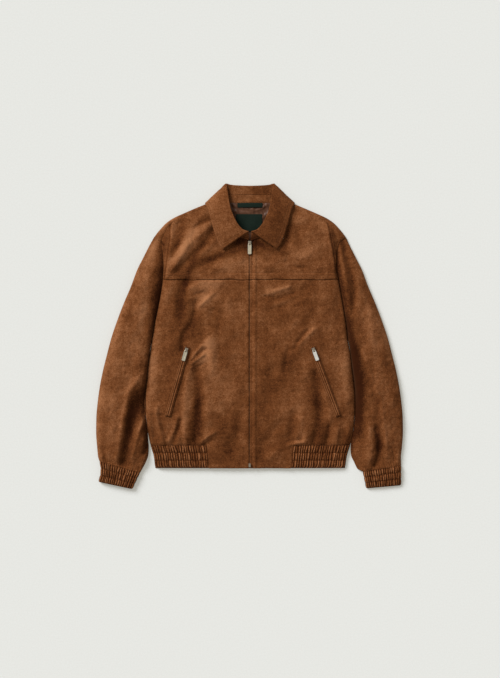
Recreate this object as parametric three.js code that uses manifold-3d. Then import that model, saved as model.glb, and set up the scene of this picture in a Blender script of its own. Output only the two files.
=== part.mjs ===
import * as THREE from 'three';
import { mergeVertices } from 'three/addons/utils/BufferGeometryUtils.js';
import Module from 'manifold-3d';

// A suede blouson lying flat on its back, closed by its front zip, in millimetres.
// x runs to the wearer's left, y towards the collar, z up from the surface it lies on.
// "right" and "left" are the wearer's; side is -1 for right and +1 for left.

const suede = 2.4;             // thickness of the suede walls
const seam = 0.3;              // gap between pieces that are sewn together
const armholeGap = 0.5;        // sideways gap along the slanted armhole seam
const shoulderGap = 0.48;      // sideways gap along the slanted shoulder seam
const sleeveGap = 1.3;         // gap between a sleeve and the side that it lies against
const zipX = -0.8;             // centre line of the front zip
const zipHalfGap = 1.0;        // half of the gap between the two front edges
const yokeSeamY = 141.5;       // yoke seam across the chest
const bandTopY = -272.5;       // top edge of the gathered hem band
const hemY = -329.5;           // bottom edge of the hem
const elasticFrom = 0.435;     // share of the half width where the gathered stretch begins
const underarmY = -10;         // where armhole, side seam and sleeve seam meet
const capY = 233;              // where shoulder seam and armhole meet on the front
const notchY = 246;            // top of the sleeve head, on the outline
const notchX = 239.5;
const valleyHeight = 8.5;      // height of the armhole seam in its valley
const sideSharpness = 5;       // exponent of the body's rounded section
const sleeveSharpness = 3;     // exponent of the sleeve's rounded section
const backLift = 3.4;          // the collar's back fall lies under the neck of the back panel
const foldFade = 26;           // folds fade out over this distance from the zip and the seams
const sideFade = 0.12;         // and over this share of the width from the side edge
const sleeveFade = 0.16;       // and over this share of a sleeve's width from its two edges
const ribFade = 0.02;          // gathers flatten over this share of the width at a side edge
const hemRibs = 23;            // gathers in each front stretch of the hem band
const cuffRibs = 15;           // gathers across the top of each cuff
const hemRibDepth = 2.2;
const cuffRibDepth = 2.2;
const ribRoom = 1.2;           // the inside of the gathered stretches lies this much lower
const puffDepth = 1.8;         // how far a gathered row stands above its stitch lines
const stitchRows = [0, 0.16, 0.34, 0.5, 0.66, 0.84, 1];
const stitchPuff = [0.2, 1, 0, 1, 0, 1, 0.2];
const ribInRow = 0.65;         // share of a rib's depth that the stitch lines press flat

// Half width of the body at the armhole seam and side edge, and height of the front above the surface.
const bodyTable = [
  { y: capY, right: 222, left: 222, height: 20 },
  { y: 205, right: 217.5, left: 216, height: 21.5 },
  { y: 173, right: 215.5, left: 215.5, height: 22.5 },
  { y: yokeSeamY, right: 217, left: 220, height: 23 },
  { y: 105, right: 222, left: 226.5, height: 23.5 },
  { y: 68, right: 229, left: 233, height: 24 },
  { y: 30, right: 237, left: 239, height: 24 },
  { y: underarmY, right: 244, left: 243.5, height: 24 },
  { y: -45, right: 249.5, left: 250.5, height: 24 },
  { y: -80, right: 254, left: 254.5, height: 23.5 },
  { y: -115, right: 257, left: 258.5, height: 23 },
  { y: -150, right: 259, left: 261, height: 22.5 },
  { y: -185, right: 259.5, left: 261, height: 21.5 },
  { y: -220, right: 257.5, left: 259, height: 20 },
  { y: -250, right: 252.5, left: 254.5, height: 17.5 },
  { y: bandTopY, right: 243.5, left: 246, height: 14.5 },
  { y: -301, right: 238, left: 238, height: 12.5 },
  { y: hemY, right: 231, left: 235, height: 11 },
];

// Top edge of the body from the centre outwards: where the front ends (neckline, then shoulder seam),
// how high it lies there, and where the back turns forward over the shoulder or ends at the neck.
const topTable = [
  { share: 0, frontY: 238, frontZ: 20, edgeX: 0, edgeY: 352 },
  { share: 0.06, frontY: 243, frontZ: 20, edgeX: 13, edgeY: 352 },
  { share: 0.15, frontY: 255, frontZ: 19.5, edgeX: 33, edgeY: 351.5 },
  { share: 0.23, frontY: 275, frontZ: 18, edgeX: 51, edgeY: 350.5 },
  { share: 0.29, frontY: 303, frontZ: 16, edgeX: 64, edgeY: 348.5 },
  { share: 0.345, frontY: 335, frontZ: 12, edgeX: 78, edgeY: 345 },
  { share: 0.47, frontY: 323.5, frontZ: 12, edgeX: 107, edgeY: 328.5 },
  { share: 0.58, frontY: 313, frontZ: 12, edgeX: 131, edgeY: 322 },
  { share: 0.72, frontY: 299, frontZ: 12, edgeX: 165, edgeY: 306 },
  { share: 0.83, frontY: 287, frontZ: 11.5, edgeX: 190, edgeY: 294.5 },
  { share: 0.9, frontY: 277, frontZ: 11, edgeX: 208, edgeY: 282.5 },
  { share: 0.955, frontY: 258, frontZ: 9.5, edgeX: 224, edgeY: 266 },
  { share: 0.985, frontY: 242, frontZ: 8, edgeX: 235, edgeY: 252.5 },
  { share: 1, frontY: capY, frontZ: 6.6, edgeX: notchX, edgeY: notchY },
];
const neckShare = 0.345;       // the neck opening ends here, at the shoulder's inner end

// Sleeve: outline on its outer side, inner edge, and crown height. An innerX of 0 follows the body.
const sleeveTable = [
  { outerX: notchX, outerY: notchY, innerX: 0, innerY: underarmY, height: 8.5 },
  { outerX: 251, outerY: 225, innerX: 0, innerY: -28, height: 16 },
  { outerX: 266, outerY: 195, innerX: 0, innerY: -48, height: 20.5 },
  { outerX: 281, outerY: 165, innerX: 0, innerY: -72, height: 23 },
  { outerX: 296, outerY: 125, innerX: 0, innerY: -98, height: 24 },
  { outerX: 313, outerY: 85, innerX: 0, innerY: -123, height: 24.5 },
  { outerX: 328.5, outerY: 45, innerX: 0, innerY: -148, height: 25 },
  { outerX: 345.5, outerY: -5, innerX: 0, innerY: -173, height: 25 },
  { outerX: 356, outerY: -45, innerX: 0, innerY: -198, height: 25 },
  { outerX: 366, outerY: -85, innerX: 0, innerY: -220, height: 25 },
  { outerX: 374, outerY: -125, innerX: 0, innerY: -240, height: 24.5 },
  { outerX: 379, outerY: -160, innerX: 254, innerY: -259, height: 24 },
  { outerX: 383, outerY: -205, innerX: 252.5, innerY: -279, height: 23 },
  { outerX: 383.5, outerY: -240, innerX: 253.5, innerY: -296, height: 21.5 },
  { outerX: 381, outerY: -277, innerX: 260, innerY: -315, height: 18.5 },
  { outerX: 378.5, outerY: -302, innerX: 269, innerY: -332, height: 15 },
];
const outerShift = { right: 0.5, left: -1 };   // the two sleeves differ this much from the table
const cuffs = {
  right: {
    topOuter: [-376, -312], topInner: [-274, -341], endOuter: [-379, -363.5], endInner: [-293, -382],
  },
  left: {
    topOuter: [377.5, -322.5], topInner: [281, -338.5], endOuter: [377.7, -372.5], endInner: [289.7, -380.5],
  },
};
const cuffHeight = 13.5;
const cuffSharpness = 3.6;
const cuffEdgeShare = 0.38;    // height share of the cuff's two side edges
const cuffWall = 4;            // from the ribs' mean height down to the cuff's inside

// Folds pressed into the cloth as it lies: line ends, half width, height (negative is a trough).
const bodyFolds = [
  { x0: -140, y0: -97, x1: -132, y1: -165, width: 15, height: -3.5 },
  { x0: -132, y0: -165, x1: -138, y1: -268, width: 14, height: -4.5 },
  { x0: -160, y0: -97, x1: -166, y1: -268, width: 13, height: 2.6 },
  { x0: -157, y0: 130, x1: -183, y1: 60, width: 15, height: -3.4 },
  { x0: -137, y0: 90, x1: -183, y1: -55, width: 13, height: -2.6 },
  { x0: -103, y0: 0, x1: -99, y1: -90, width: 22, height: 2.8 },
  { x0: -105, y0: 281, x1: -157, y1: 232, width: 13, height: 3 },
  { x0: -157, y0: 232, x1: -190, y1: 175, width: 13, height: 3 },
  { x0: -92, y0: 266, x1: -134, y1: 216, width: 11, height: -3.2 },
  { x0: -134, y0: 216, x1: -186, y1: 164, width: 11, height: -2.8 },
  { x0: 150, y0: -92, x1: 166, y1: -196, width: 13, height: -3.6 },
  { x0: 166, y0: -196, x1: 164, y1: -268, width: 13, height: -4 },
  { x0: 170, y0: 27, x1: 125, y1: -22, width: 16, height: 2.6 },
  { x0: 125, y0: 15, x1: 80, y1: -125, width: 15, height: -2.4 },
  { x0: 87, y0: -165, x1: 126, y1: -238, width: 17, height: 2.8 },
  { x0: 127, y0: 290, x1: 151, y1: 258, width: 17, height: 2.2 },
];
const sleeveFolds = [
  { x0: -282, y0: -130, x1: -302, y1: -188, width: 12, height: -5 },
  { x0: -302, y0: -188, x1: -320, y1: -300, width: 10, height: -6 },
  { x0: -262, y0: -205, x1: -296, y1: -290, width: 9, height: 2.5 },
  { x0: -347, y0: -190, x1: -350, y1: -290, width: 12, height: 2 },
  { x0: 240, y0: 205, x1: 258, y1: 115, width: 11, height: -4 },
  { x0: 258, y0: 115, x1: 252, y1: 50, width: 11, height: -4 },
  { x0: 317, y0: -232, x1: 314, y1: -305, width: 10, height: -6 },
  { x0: 296, y0: -215, x1: 293, y1: -300, width: 11, height: 2.5 },
  { x0: 338, y0: -225, x1: 338, y1: -295, width: 11, height: 2.5 },
  { x0: 312, y0: -110, x1: 334, y1: -208, width: 13, height: -2.5 },
];

// Collar stations from the front edge of a leaf round to the centre back. roll is the folded top line,
// edge the outer edge and neck the seam, each x, y and height of the fall's outer face; turn is the
// direction of the fall's inside: -90 is down (front leaf), 0 is sideways, +90 is up (behind the neck).
const collarTable = [
  { roll: [3, 259.5, 32], edge: [67, 215, 24.4], neck: [2.2, 237.6, 23.4], turn: -90 },
  { roll: [16, 263.5, 33.5], edge: [76.5, 228, 25], neck: [24, 246, 23.3], turn: -90 },
  { roll: [29, 276.5, 33.5], edge: [84.5, 247, 25], neck: [37, 254.5, 23.2], turn: -90 },
  { roll: [37.5, 291.5, 33], edge: [90.5, 265, 24.4], neck: [48, 267, 22.4], turn: -90 },
  { roll: [44.5, 308, 31], edge: [95.5, 283, 23.5], neck: [57, 280, 21.5], turn: -90 },
  { roll: [49.5, 325, 28], edge: [100, 299, 22], neck: [63, 292.5, 20.6], turn: -90 },
  { roll: [52.5, 342, 23.5], edge: [103.5, 312, 20.5], neck: [68.5, 305.5, 19.6], turn: -86 },
  { roll: [55.5, 360, 18], edge: [107, 322, 17.5], neck: [73.5, 322, 18.4], turn: -70 },
  { roll: [58.5, 373, 12.5], edge: [111.2, 329.3, 12.5], neck: [75.2, 341.5, 13.4], turn: -30 },
  { roll: [60, 381, 6.5], edge: [112.5, 331, 7], neck: [74, 348.5, 7.4], turn: 10 },
  { roll: [56.5, 380.5, 2.4], edge: [110, 328.5, 1.4], neck: [66, 350, 5], turn: 55 },
  { roll: [49, 377.5, 1], edge: [101, 319, 0], neck: [55, 351.2, 3.6], turn: 88 },
  { roll: [36, 376, 0.8], edge: [80, 309, 0], neck: [38, 351.8, 3.5], turn: 90 },
  { roll: [18, 375, 0.8], edge: [42, 303, 0], neck: [19, 352.3, 3.5], turn: 90 },
  { roll: [0, 374.5, 0.8], edge: [0, 301, 0], neck: [0, 352.4, 3.5], turn: 90 },
];

const collarCrown = 1.5;       // bulge of the front leaves between their two edges
const collarSpread = 0.5;      // the fold keeps the two leaves this much further out
const lining = 1.0;            // thickness of lining, label and loop
const layerPlay = 0.1;         // more room under a layer that lies on another
const facing = { halfWidth: 56, top: 350, bottom: 332, thick: 1.2, bow: 2 };
const liningPatch = { halfTop: 58, halfBottom: 78, top: 331.6, bottom: 205 };
const loopStrip = { halfLength: 31, width: 11, y: 326, arch: 2 };
const label = { x0: -35, x1: 30, y0: 253, y1: 303.5 };

const frontHeadY = 229.8;      // pull bar of the front zip, drawn up to the neck
const frontTape = { halfWidth: 10, thick: 1.2, above: 3 };
const zipBox = { width: 5, length: 9, height: 2.4, lift: 1, y: -322 };
const pockets = {
  right: { x0: -156, y0: -27, x1: -205, y1: -200 },
  left: { x0: 155, y0: -27, x1: 220, y1: -200 },
};
const welt = { halfWidth: 6.2, slit: 1.9, thick: 2.0, lift: 0.6, rows: 16, end: 0.03, coil: 1.2 };
const slider = { width: 7.6, length: 12.5, base: 2.2, bridge: 3.0, bridgeHalf: 2.6, leg: 1.1, roof: 1.0 };
const pull = {
  width: 8.8, neck: 6.6, length: 27.5, thick: 1.4, round: 1.2, bar: 1.2, holeWidth: 4.4, holeLength: 4.2,
  groove: 0.5, grooveWidth: 1.6, grooveMargin: 3.5,
};
const playAtBar = 0.35;         // between the pull's bar and the slider's bridge
const pocketHeadAt = 9;        // a pocket's slider stands this far along its slit

const finishes = {
  suede: { color: 0x704628, roughness: 0.95, metalness: 0 },
  suedeDark: { color: 0x5c371f, roughness: 0.95, metalness: 0 },
  lining: { color: 0x6a4433, roughness: 0.6, metalness: 0 },
  green: { color: 0x22332a, roughness: 0.8, metalness: 0 },
  tape: { color: 0x3a2416, roughness: 0.9, metalness: 0 },
  metal: { color: 0xc9c1ab, roughness: 0.35, metalness: 1 },
};

const wasm = await Module();
wasm.setup();
const jacket = new THREE.Group();

function mix(a, b, share) {
  return a + (b - a) * share;
}

function clamp(value, low, high) {
  return Math.min(high, Math.max(low, value));
}

function easeIn(value) {
  const share = clamp(value, 0, 1);
  return share * share * (3 - 2 * share);
}

// Value of one column of a table at a key, straight between its rows; the key falls or rises all the way.
function lookUp(table, key, at, column) {
  const falling = table[0][key] > table[table.length - 1][key];
  const place = falling ? -at : at;
  let row = 0;
  while (row < table.length - 2 && (falling ? -table[row + 1][key] : table[row + 1][key]) < place) row += 1;
  const from = table[row];
  const to = table[row + 1];
  const share = clamp((at - from[key]) / (to[key] - from[key]), 0, 1);
  return mix(from[column], to[column], share);
}

// Rounded section: 1 in the middle (offset 0), 0 at the edges (offset -1 or 1).
function dome(offset, sharpness) {
  return Math.pow(Math.max(0, 1 - Math.pow(Math.abs(offset), sharpness)), 1 / sharpness);
}

function foldHeight(folds, x, y) {
  let height = 0;
  for (const fold of folds) {
    const dx = fold.x1 - fold.x0;
    const dy = fold.y1 - fold.y0;
    const along = clamp(((x - fold.x0) * dx + (y - fold.y0) * dy) / (dx * dx + dy * dy), 0, 1);
    const off = Math.hypot(x - fold.x0 - along * dx, y - fold.y0 - along * dy);
    height += fold.height * Math.exp(-((off / fold.width) ** 2));
  }
  return height;
}

function sideName(side) {
  return side < 0 ? 'right' : 'left';
}

// Closed mesh from points and triangles, turned so that its faces point out, added under its name.
function addSolid(name, points, faces, finish) {
  let volume = 0;
  for (const [a, b, c] of faces) {
    const [p, q, r] = [points[a], points[b], points[c]];
    volume += p[0] * (q[1] * r[2] - q[2] * r[1]) - p[1] * (q[0] * r[2] - q[2] * r[0])
      + p[2] * (q[0] * r[1] - q[1] * r[0]);
  }
  const index = [];
  for (const [a, b, c] of faces) {
    if (volume > 0) index.push(a, b, c);
    else index.push(a, c, b);
  }
  const geometry = new THREE.BufferGeometry();
  geometry.setAttribute('position', new THREE.Float32BufferAttribute(points.flat(), 3));
  geometry.setIndex(index);
  geometry.computeVertexNormals();
  return addMesh(name, geometry, finish);
}

function addMesh(name, geometry, finish) {
  const mesh = new THREE.Mesh(geometry, new THREE.MeshStandardMaterial(finishes[finish]));
  mesh.name = name;
  jacket.add(mesh);
  return mesh;
}

// Wall between an outer and an inner grid of the same size. keep(row, column) says which cells are cloth.
function addWall(name, rows, columns, outer, inner, finish, keep = () => true) {
  const points = [];
  const faces = [];
  const index = { outer: new Map(), inner: new Map() };
  const point = (skin, row, column) => {
    const key = row * 1000 + column;
    if (!index[skin].has(key)) {
      index[skin].set(key, points.length);
      points.push(skin === 'outer' ? outer(row, column) : inner(row, column));
    }
    return index[skin].get(key);
  };
  const inGrid = (row, column) => row >= 0 && column >= 0 && row < rows && column < columns;
  const kept = (row, column) => inGrid(row, column) && keep(row, column);
  for (let row = 0; row < rows; row += 1) {
    for (let column = 0; column < columns; column += 1) {
      if (!kept(row, column)) continue;
      const corners = [[row, column], [row, column + 1], [row + 1, column + 1], [row + 1, column]];
      const next = [[row - 1, column], [row, column + 1], [row + 1, column], [row, column - 1]];
      const [a, b, c, d] = corners.map((at) => point('outer', ...at));
      const [e, f, g, h] = corners.map((at) => point('inner', ...at));
      faces.push([a, b, c], [a, c, d], [e, g, f], [e, h, g]);
      const top = [a, b, c, d];
      const under = [e, f, g, h];
      next.forEach((cell, side) => {
        if (kept(...cell)) return;
        const turn = (side + 1) % 4;
        faces.push([top[turn], top[side], under[side]], [top[turn], under[side], under[turn]]);
      });
    }
  }
  return addSolid(name, points, faces, finish);
}

// How far along an edge each of its points lies, as a share of its length seen from above.
function runShares(points, edge) {
  const runs = [0];
  for (let step = 1; step < edge.length; step += 1) {
    const [from, to] = [points[edge[step - 1]], points[edge[step]]];
    runs.push(runs[step - 1] + Math.hypot(to[0] - from[0], to[1] - from[1]));
  }
  return runs.map((run) => run / runs[runs.length - 1]);
}

// Joins two edges with different numbers of points, one triangle for each step along either edge.
function joinEdges(points, faces, first, second) {
  const firstRun = runShares(points, first);
  const secondRun = runShares(points, second);
  let a = 0;
  let b = 0;
  while (a < first.length - 1 || b < second.length - 1) {
    const stepFirst = firstRun[a + 1] <= secondRun[b + 1];
    if (b === second.length - 1 || (a < first.length - 1 && stepFirst)) {
      faces.push([first[a + 1], first[a], second[b]]);
      a += 1;
    } else {
      faces.push([first[a], second[b], second[b + 1]]);
      b += 1;
    }
  }
}

// Wall whose outer grid is finer than its inner one. A closed wall is a tube, open at its two ends.
function addRibbedWall(name, outerRows, innerRows, closed, finish) {
  const points = [];
  const faces = [];
  const store = (rows) => rows.map((row) => row.map((at) => points.push(at) - 1));
  const skin = (rows, outward) => {
    const wrap = rows[0].length;
    const cells = closed ? wrap : wrap - 1;
    for (let row = 0; row < rows.length - 1; row += 1) {
      for (let column = 0; column < cells; column += 1) {
        const next = (column + 1) % wrap;
        const [a, b] = [rows[row][column], rows[row][next]];
        const [d, c] = [rows[row + 1][column], rows[row + 1][next]];
        if (outward) faces.push([a, b, c], [a, c, d]);
        else faces.push([a, c, b], [a, d, c]);
      }
    }
  };
  const outer = store(outerRows);
  const inner = store(innerRows);
  skin(outer, true);
  skin(inner, false);
  const ring = (row) => (closed ? [...row, row[0]] : row);
  const last = (rows) => rows[rows.length - 1];
  const join = (first, second) => joinEdges(points, faces, first, second);
  join(ring(outer[0]), ring(inner[0]));
  join([...ring(last(outer))].reverse(), [...ring(last(inner))].reverse());
  if (!closed) {
    join(outer.map((row) => last(row)), inner.map((row) => last(row)));
    join(outer.map((row) => row[0]).reverse(), inner.map((row) => row[0]).reverse());
  }
  return addSolid(name, points, faces, finish);
}

function sideX(side, y) {
  return side * lookUp(bodyTable, 'y', clamp(y, hemY, capY), sideName(side));
}

// Height of the body's outer edge: on the back panel below the underarm, in the valley above it.
function edgeHeight(y) {
  if (y <= underarmY) return suede + seam;
  const along = (notchY - y) / (notchY - underarmY);
  return suede + seam + (valleyHeight - suede - seam) * dome(2 * along - 1, sleeveSharpness);
}

// Point of the front: share runs from the zip edge (0) to the side edge (1), inset is 0 outside.
function frontPoint(side, share, level, inset) {
  const centreX = zipX + side * zipHalfGap;
  const topY = lookUp(topTable, 'share', share, 'frontY');
  const rise = clamp((level - yokeSeamY) / (capY - yokeSeamY), 0, 1);
  const y = level <= yokeSeamY ? level : mix(yokeSeamY, topY, rise);
  const x = mix(centreX, sideX(side, level) - side * inset, share);
  const crown = lookUp(bodyTable, 'y', level, 'height');
  const base = edgeHeight(level);
  const domed = base + (crown - inset - base) * dome(share, sideSharpness);
  const topZ = lookUp(topTable, 'share', share, 'frontZ') - inset * (share < 1 ? 1 : 0);
  const z = level <= yokeSeamY ? domed : mix(domed, topZ, rise ** 3);
  const fade = easeIn(Math.abs(x - zipX) / foldFade) * easeIn((1 - share) / sideFade)
    * (level > 0 ? easeIn((topY - y) / foldFade) : easeIn((y - hemY) / (2 * foldFade)));
  return [x, y, z + fade * foldHeight(bodyFolds, x, y)];
}

const frontShares = [
  0, 0.06, 0.15, 0.23, 0.29, 0.345, elasticFrom, 0.52, 0.6, 0.68, 0.76, 0.83, 0.9, 0.955, 0.985, 1,
];

function addFronts() {
  const bodyLevels = bodyTable.map((row) => row.y);
  const lower = bodyLevels.filter((y) => y <= yokeSeamY);
  lower[0] -= seam;
  const upper = bodyLevels.filter((y) => y >= yokeSeamY);
  const made = {};
  for (const side of [-1, 1]) {
    const at = (levels, inset) => (row, column) => frontPoint(side, frontShares[column], levels[row], inset);
    const columns = frontShares.length - 1;
    const plainHem = (row, column) => lower[row] > bandTopY || frontShares[column] < elasticFrom;
    const panel = addWall(`front_panel_${sideName(side)}`, lower.length - 1, columns,
      at(lower, 0), at(lower, suede), 'suede', plainHem);
    const yoke = addWall(`front_yoke_${sideName(side)}`, upper.length - 1, columns,
      at(upper, 0), at(upper, suede), 'suede');
    made[panel.name] = panel;
    made[yoke.name] = yoke;
  }
  return made;
}

// Height that a gathered stretch has at a step across it, two steps for each rib, in one stitch row.
function gathered(step, row, ribDepth) {
  const rib = ribDepth * (step % 2 === 0 ? -0.5 : 0.5) * (1 - ribInRow + ribInRow * stitchPuff[row]);
  return rib + puffDepth * (stitchPuff[row] - 0.5);
}

function addHemElastics() {
  for (const side of [-1, 1]) {
    const gap = seam / Math.abs(sideX(side, bandTopY));
    const from = elasticFrom + gap * 1.5;
    const outerRows = stitchRows.map((down, row) => {
      const y = mix(bandTopY - seam, hemY, down);
      const steps = [...Array(2 * hemRibs + 1).keys()];
      return steps.map((step) => {
        const share = 1 - (1 - from) * (1 - step / (2 * hemRibs)) ** 1.15;
        const point = frontPoint(side, share, y, 0);
        const room = easeIn((1 - share) / ribFade) * (step > 0 ? 1 : 0);
        point[2] += room * gathered(step, row, hemRibDepth);
        return point;
      });
    });
    const innerShares = [from, 0.6, 0.76, 0.88, 0.96, 0.99, 1];
    const innerRows = [0, 0.5, 1].map((down) => innerShares.map((share) => {
      const point = frontPoint(side, share, mix(bandTopY - seam, hemY, down), suede);
      point[2] -= easeIn((1 - share) / ribFade) * ribRoom;
      return point;
    }));
    addRibbedWall(`hem_elastic_${sideName(side)}`, outerRows, innerRows, false, 'suedeDark');
  }
}

// The back lies on the surface; its neck is lifted by the collar's fall that lies under it.
function neckLift(x, y) {
  return backLift * easeIn((y - 215) / 60) * easeIn((165 - Math.abs(x)) / 40);
}

const wrapTurns = [0, 50, 90, 130, 180];
const neckLevels = [157, 189, 219];
const backShares = [...frontShares.slice(1).map((share) => -share).reverse(), ...frontShares];

function backPoint(column, row, levels, inset) {
  const half = backShares[column];
  const side = half < 0 ? -1 : 1;
  const share = Math.abs(half);
  const frontY = lookUp(topTable, 'share', share, 'frontY');
  const edge = [lookUp(topTable, 'share', share, 'edgeX'), lookUp(topTable, 'share', share, 'edgeY')];
  const isNeck = share < neckShare;
  const topY = isNeck ? edge[1] : frontY;
  const level = levels[Math.min(row, levels.length - 1)];
  const rise = clamp((level - yokeSeamY) / (capY - yokeSeamY), 0, 1);
  const centreX = zipX + side * zipHalfGap;
  const x = mix(rise * centreX, sideX(side, level), share);
  const y = level <= yokeSeamY ? level : mix(yokeSeamY, topY, rise);
  const turnRow = row - (levels.length - 1);
  const lift = neckLift(x, y);
  if (turnRow <= 0) return [x, y, lift + inset];
  const turn = THREE.MathUtils.degToRad(wrapTurns[turnRow]);
  const topZ = lookUp(topTable, 'share', share, 'frontZ');
  const out = [side * edge[0] - x, edge[1] - y];
  const length = Math.hypot(...out) || 1;
  const round = (1 - Math.cos(turn)) / 2;
  const height = mix(lift + inset, topZ - inset, round);
  const forward = (Math.sin(turn) * (length - inset) + shoulderGap * round) / length;
  return [x + out[0] * forward, y + out[1] * forward, height];
}

function addBack() {
  const levels = [...bodyTable.map((row) => row.y).filter((y) => y >= bandTopY), ...neckLevels];
  levels.sort((a, b) => a - b);
  const rows = levels.length - 1 + wrapTurns.length - 1;
  const at = (inset) => (row, column) => backPoint(column, row, levels, inset);
  const keep = (row, column) => row < levels.length - 1
    || Math.min(Math.abs(backShares[column]), Math.abs(backShares[column + 1])) >= neckShare;
  const panel = addWall('back_panel', rows, backShares.length - 1, at(0), at(suede), 'suede', keep);
  const bandLevels = [bandTopY - seam, (bandTopY + hemY) / 2, hemY];
  const band = (z) => (row, column) => {
    const half = [-1, -0.5, 0, 0.5, 1][column];
    return [Math.abs(half) * sideX(Math.sign(half) || 1, bandLevels[row]), bandLevels[row], z];
  };
  addWall('hem_elastic_back', 2, 4, band(0), band(suede), 'suedeDark');
  return panel;
}

// Shares across a sleeve from its outer edge (0) to its inner edge (1). Along the armhole they fall on
// the notch and on the body's own levels.
const armholeShares = [0, 0.05, 0.15, 0.28, 0.41, 0.54, 0.68, 0.82, 1];
const armholeYs = [notchY, ...bodyTable.filter((row) => row.y >= underarmY).map((row) => row.y)];
const armholeTable = armholeShares.map((share, row) => ({ share, y: armholeYs[row] }));
const sleeveShares = [0, 0.012, 0.05, 0.15, 0.28, 0.41, 0.54, 0.68, 0.82, 0.94, 0.985, 1];

function armholePoint(side, share) {
  const y = lookUp(armholeTable, 'share', share, 'y');
  const nearCap = (notchY - y) / (notchY - capY);
  const x = y > capY ? mix(side * notchX, sideX(side, capY), nearCap) : sideX(side, y);
  return [x + side * armholeGap, y];
}

function sleevePoint(side, row, share, inset) {
  const ends = cuffs[sideName(side)];
  const isLast = row === sleeveTable.length;
  const from = sleeveTable[Math.min(row, sleeveTable.length - 1)];
  const head = [armholePoint(side, 0), armholePoint(side, share), armholePoint(side, 1)];
  const innerX = from.innerX || Math.abs(sideX(side, from.innerY)) + sleeveGap;
  let outer = [side * (from.outerX + outerShift[sideName(side)]), from.outerY];
  let inner = [side * innerX, from.innerY];
  if (row === 0) [outer, , inner] = head;
  if (isLast) [outer, inner] = [ends.topOuter, ends.topInner];
  const bow = Math.max(0, 1 - row / 9) ** 1.4;
  const place = [0, 1].map((axis) => mix(outer[axis], inner[axis], share)
    + bow * (head[1][axis] - mix(head[0][axis], head[2][axis], share)));
  const crown = isLast ? cuffHeight + 0.5 : from.height;
  const base = suede + seam;
  const z = base + (crown - inset - base) * dome(2 * share - 1, sleeveSharpness);
  const width = Math.hypot(outer[0] - inner[0], outer[1] - inner[1]);
  const edgeFade = easeIn(Math.min(share, 1 - share) / sleeveFade);
  const endFade = easeIn(row / 3) * easeIn((sleeveTable.length - row) / 1.5);
  const shift = inset * (1 - 2 * share) / width;
  const fold = edgeFade * endFade * foldHeight(sleeveFolds, place[0], place[1]);
  return [place[0] + (inner[0] - outer[0]) * shift, place[1] + (inner[1] - outer[1]) * shift, z + fold];
}

function addSleeves() {
  const rows = sleeveTable.length;
  const columns = sleeveShares.length - 1;
  for (const side of [-1, 1]) {
    const top = (inset) => (row, column) => sleevePoint(side, row, sleeveShares[column], inset);
    addWall(`sleeve_top_${sideName(side)}`, rows, columns, top(0), top(suede), 'suede');
    const flat = (z) => (row, column) => {
      const [x, y] = sleevePoint(side, row, armholeShares[column], 0);
      return [x, y, z];
    };
    addWall(`sleeve_under_${sideName(side)}`, rows, armholeShares.length - 1, flat(0), flat(suede), 'suede');
  }
}

function cuffPoint(side, share, down, inset) {
  const ends = cuffs[sideName(side)];
  const along = (start, end, axis) => mix(start[axis], end[axis], down);
  const outer = [along(ends.topOuter, ends.endOuter, 0), along(ends.topOuter, ends.endOuter, 1)];
  const inner = [along(ends.topInner, ends.endInner, 0), along(ends.topInner, ends.endInner, 1)];
  const width = Math.hypot(outer[0] - inner[0], outer[1] - inner[1]);
  const place = mix(inset / width, 1 - inset / width, share);
  return [mix(outer[0], inner[0], place), mix(outer[1], inner[1], place)];
}

// Ribs stand a little closer together towards the two edges of a cuff.
function cuffShare(way) {
  const rounded = 0.5 - 0.5 * Math.cos(Math.PI * way);
  return clamp(0.5 - 0.5 * Math.cos(Math.PI * mix(way, rounded, -0.6)), 0, 1);
}

function addCuffs() {
  const steps = [...Array(2 * cuffRibs + 1).keys()];
  const under = [0.97, 0.75, 0.5, 0.25, 0.03];
  const innerTop = [0, 0.03, 0.12, 0.3, 0.5, 0.7, 0.88, 0.97, 1];
  const start = 0.008;
  const base = cuffHeight * cuffEdgeShare;
  const height = (share, top) => base + (top - base) * dome(2 * share - 1, cuffSharpness);
  for (const side of [-1, 1]) {
    const outerRows = stitchRows.map((down, row) => {
      const at = mix(start, 1, down);
      const top = steps.map((step) => {
        const isEdge = step === 0 || step === 2 * cuffRibs;
        const share = cuffShare(step / (2 * cuffRibs));
        const relief = isEdge ? 0 : gathered(step + 1, row, cuffRibDepth);
        return [...cuffPoint(side, share, at, 0), height(share, cuffHeight) + relief];
      });
      return [...top, ...under.map((share) => [...cuffPoint(side, share, at, 0), 0])];
    });
    const innerRows = [start, 1].map((at) => {
      const top = innerTop.map((share) => [
        ...cuffPoint(side, share, at, suede), height(share, cuffHeight - cuffWall),
      ]);
      return [...top, ...under.map((share) => [...cuffPoint(side, share, at, suede), suede])];
    });
    addRibbedWall(`cuff_${sideName(side)}`, outerRows, innerRows, true, 'suedeDark');
  }
}

// One collar station, mirrored for the right side, with the direction towards the neck.
function collarStation(index) {
  const last = collarTable.length - 1;
  const side = index <= last ? -1 : 1;
  const row = collarTable[index <= last ? index : 2 * last - index];
  const turn = THREE.MathUtils.degToRad(row.turn);
  const shiftX = ([x, y, z]) => [side * (x + (x > 1 ? collarSpread : 0)), y, z];
  const inward = [-side * 0.69 * Math.cos(turn), -0.72 * Math.cos(turn), Math.sin(turn)];
  return { roll: shiftX(row.roll), edge: shiftX(row.edge), neck: shiftX(row.neck), inward };
}

function movedIn(point, direction, distance) {
  return point.map((value, axis) => value + direction[axis] * distance);
}

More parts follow.
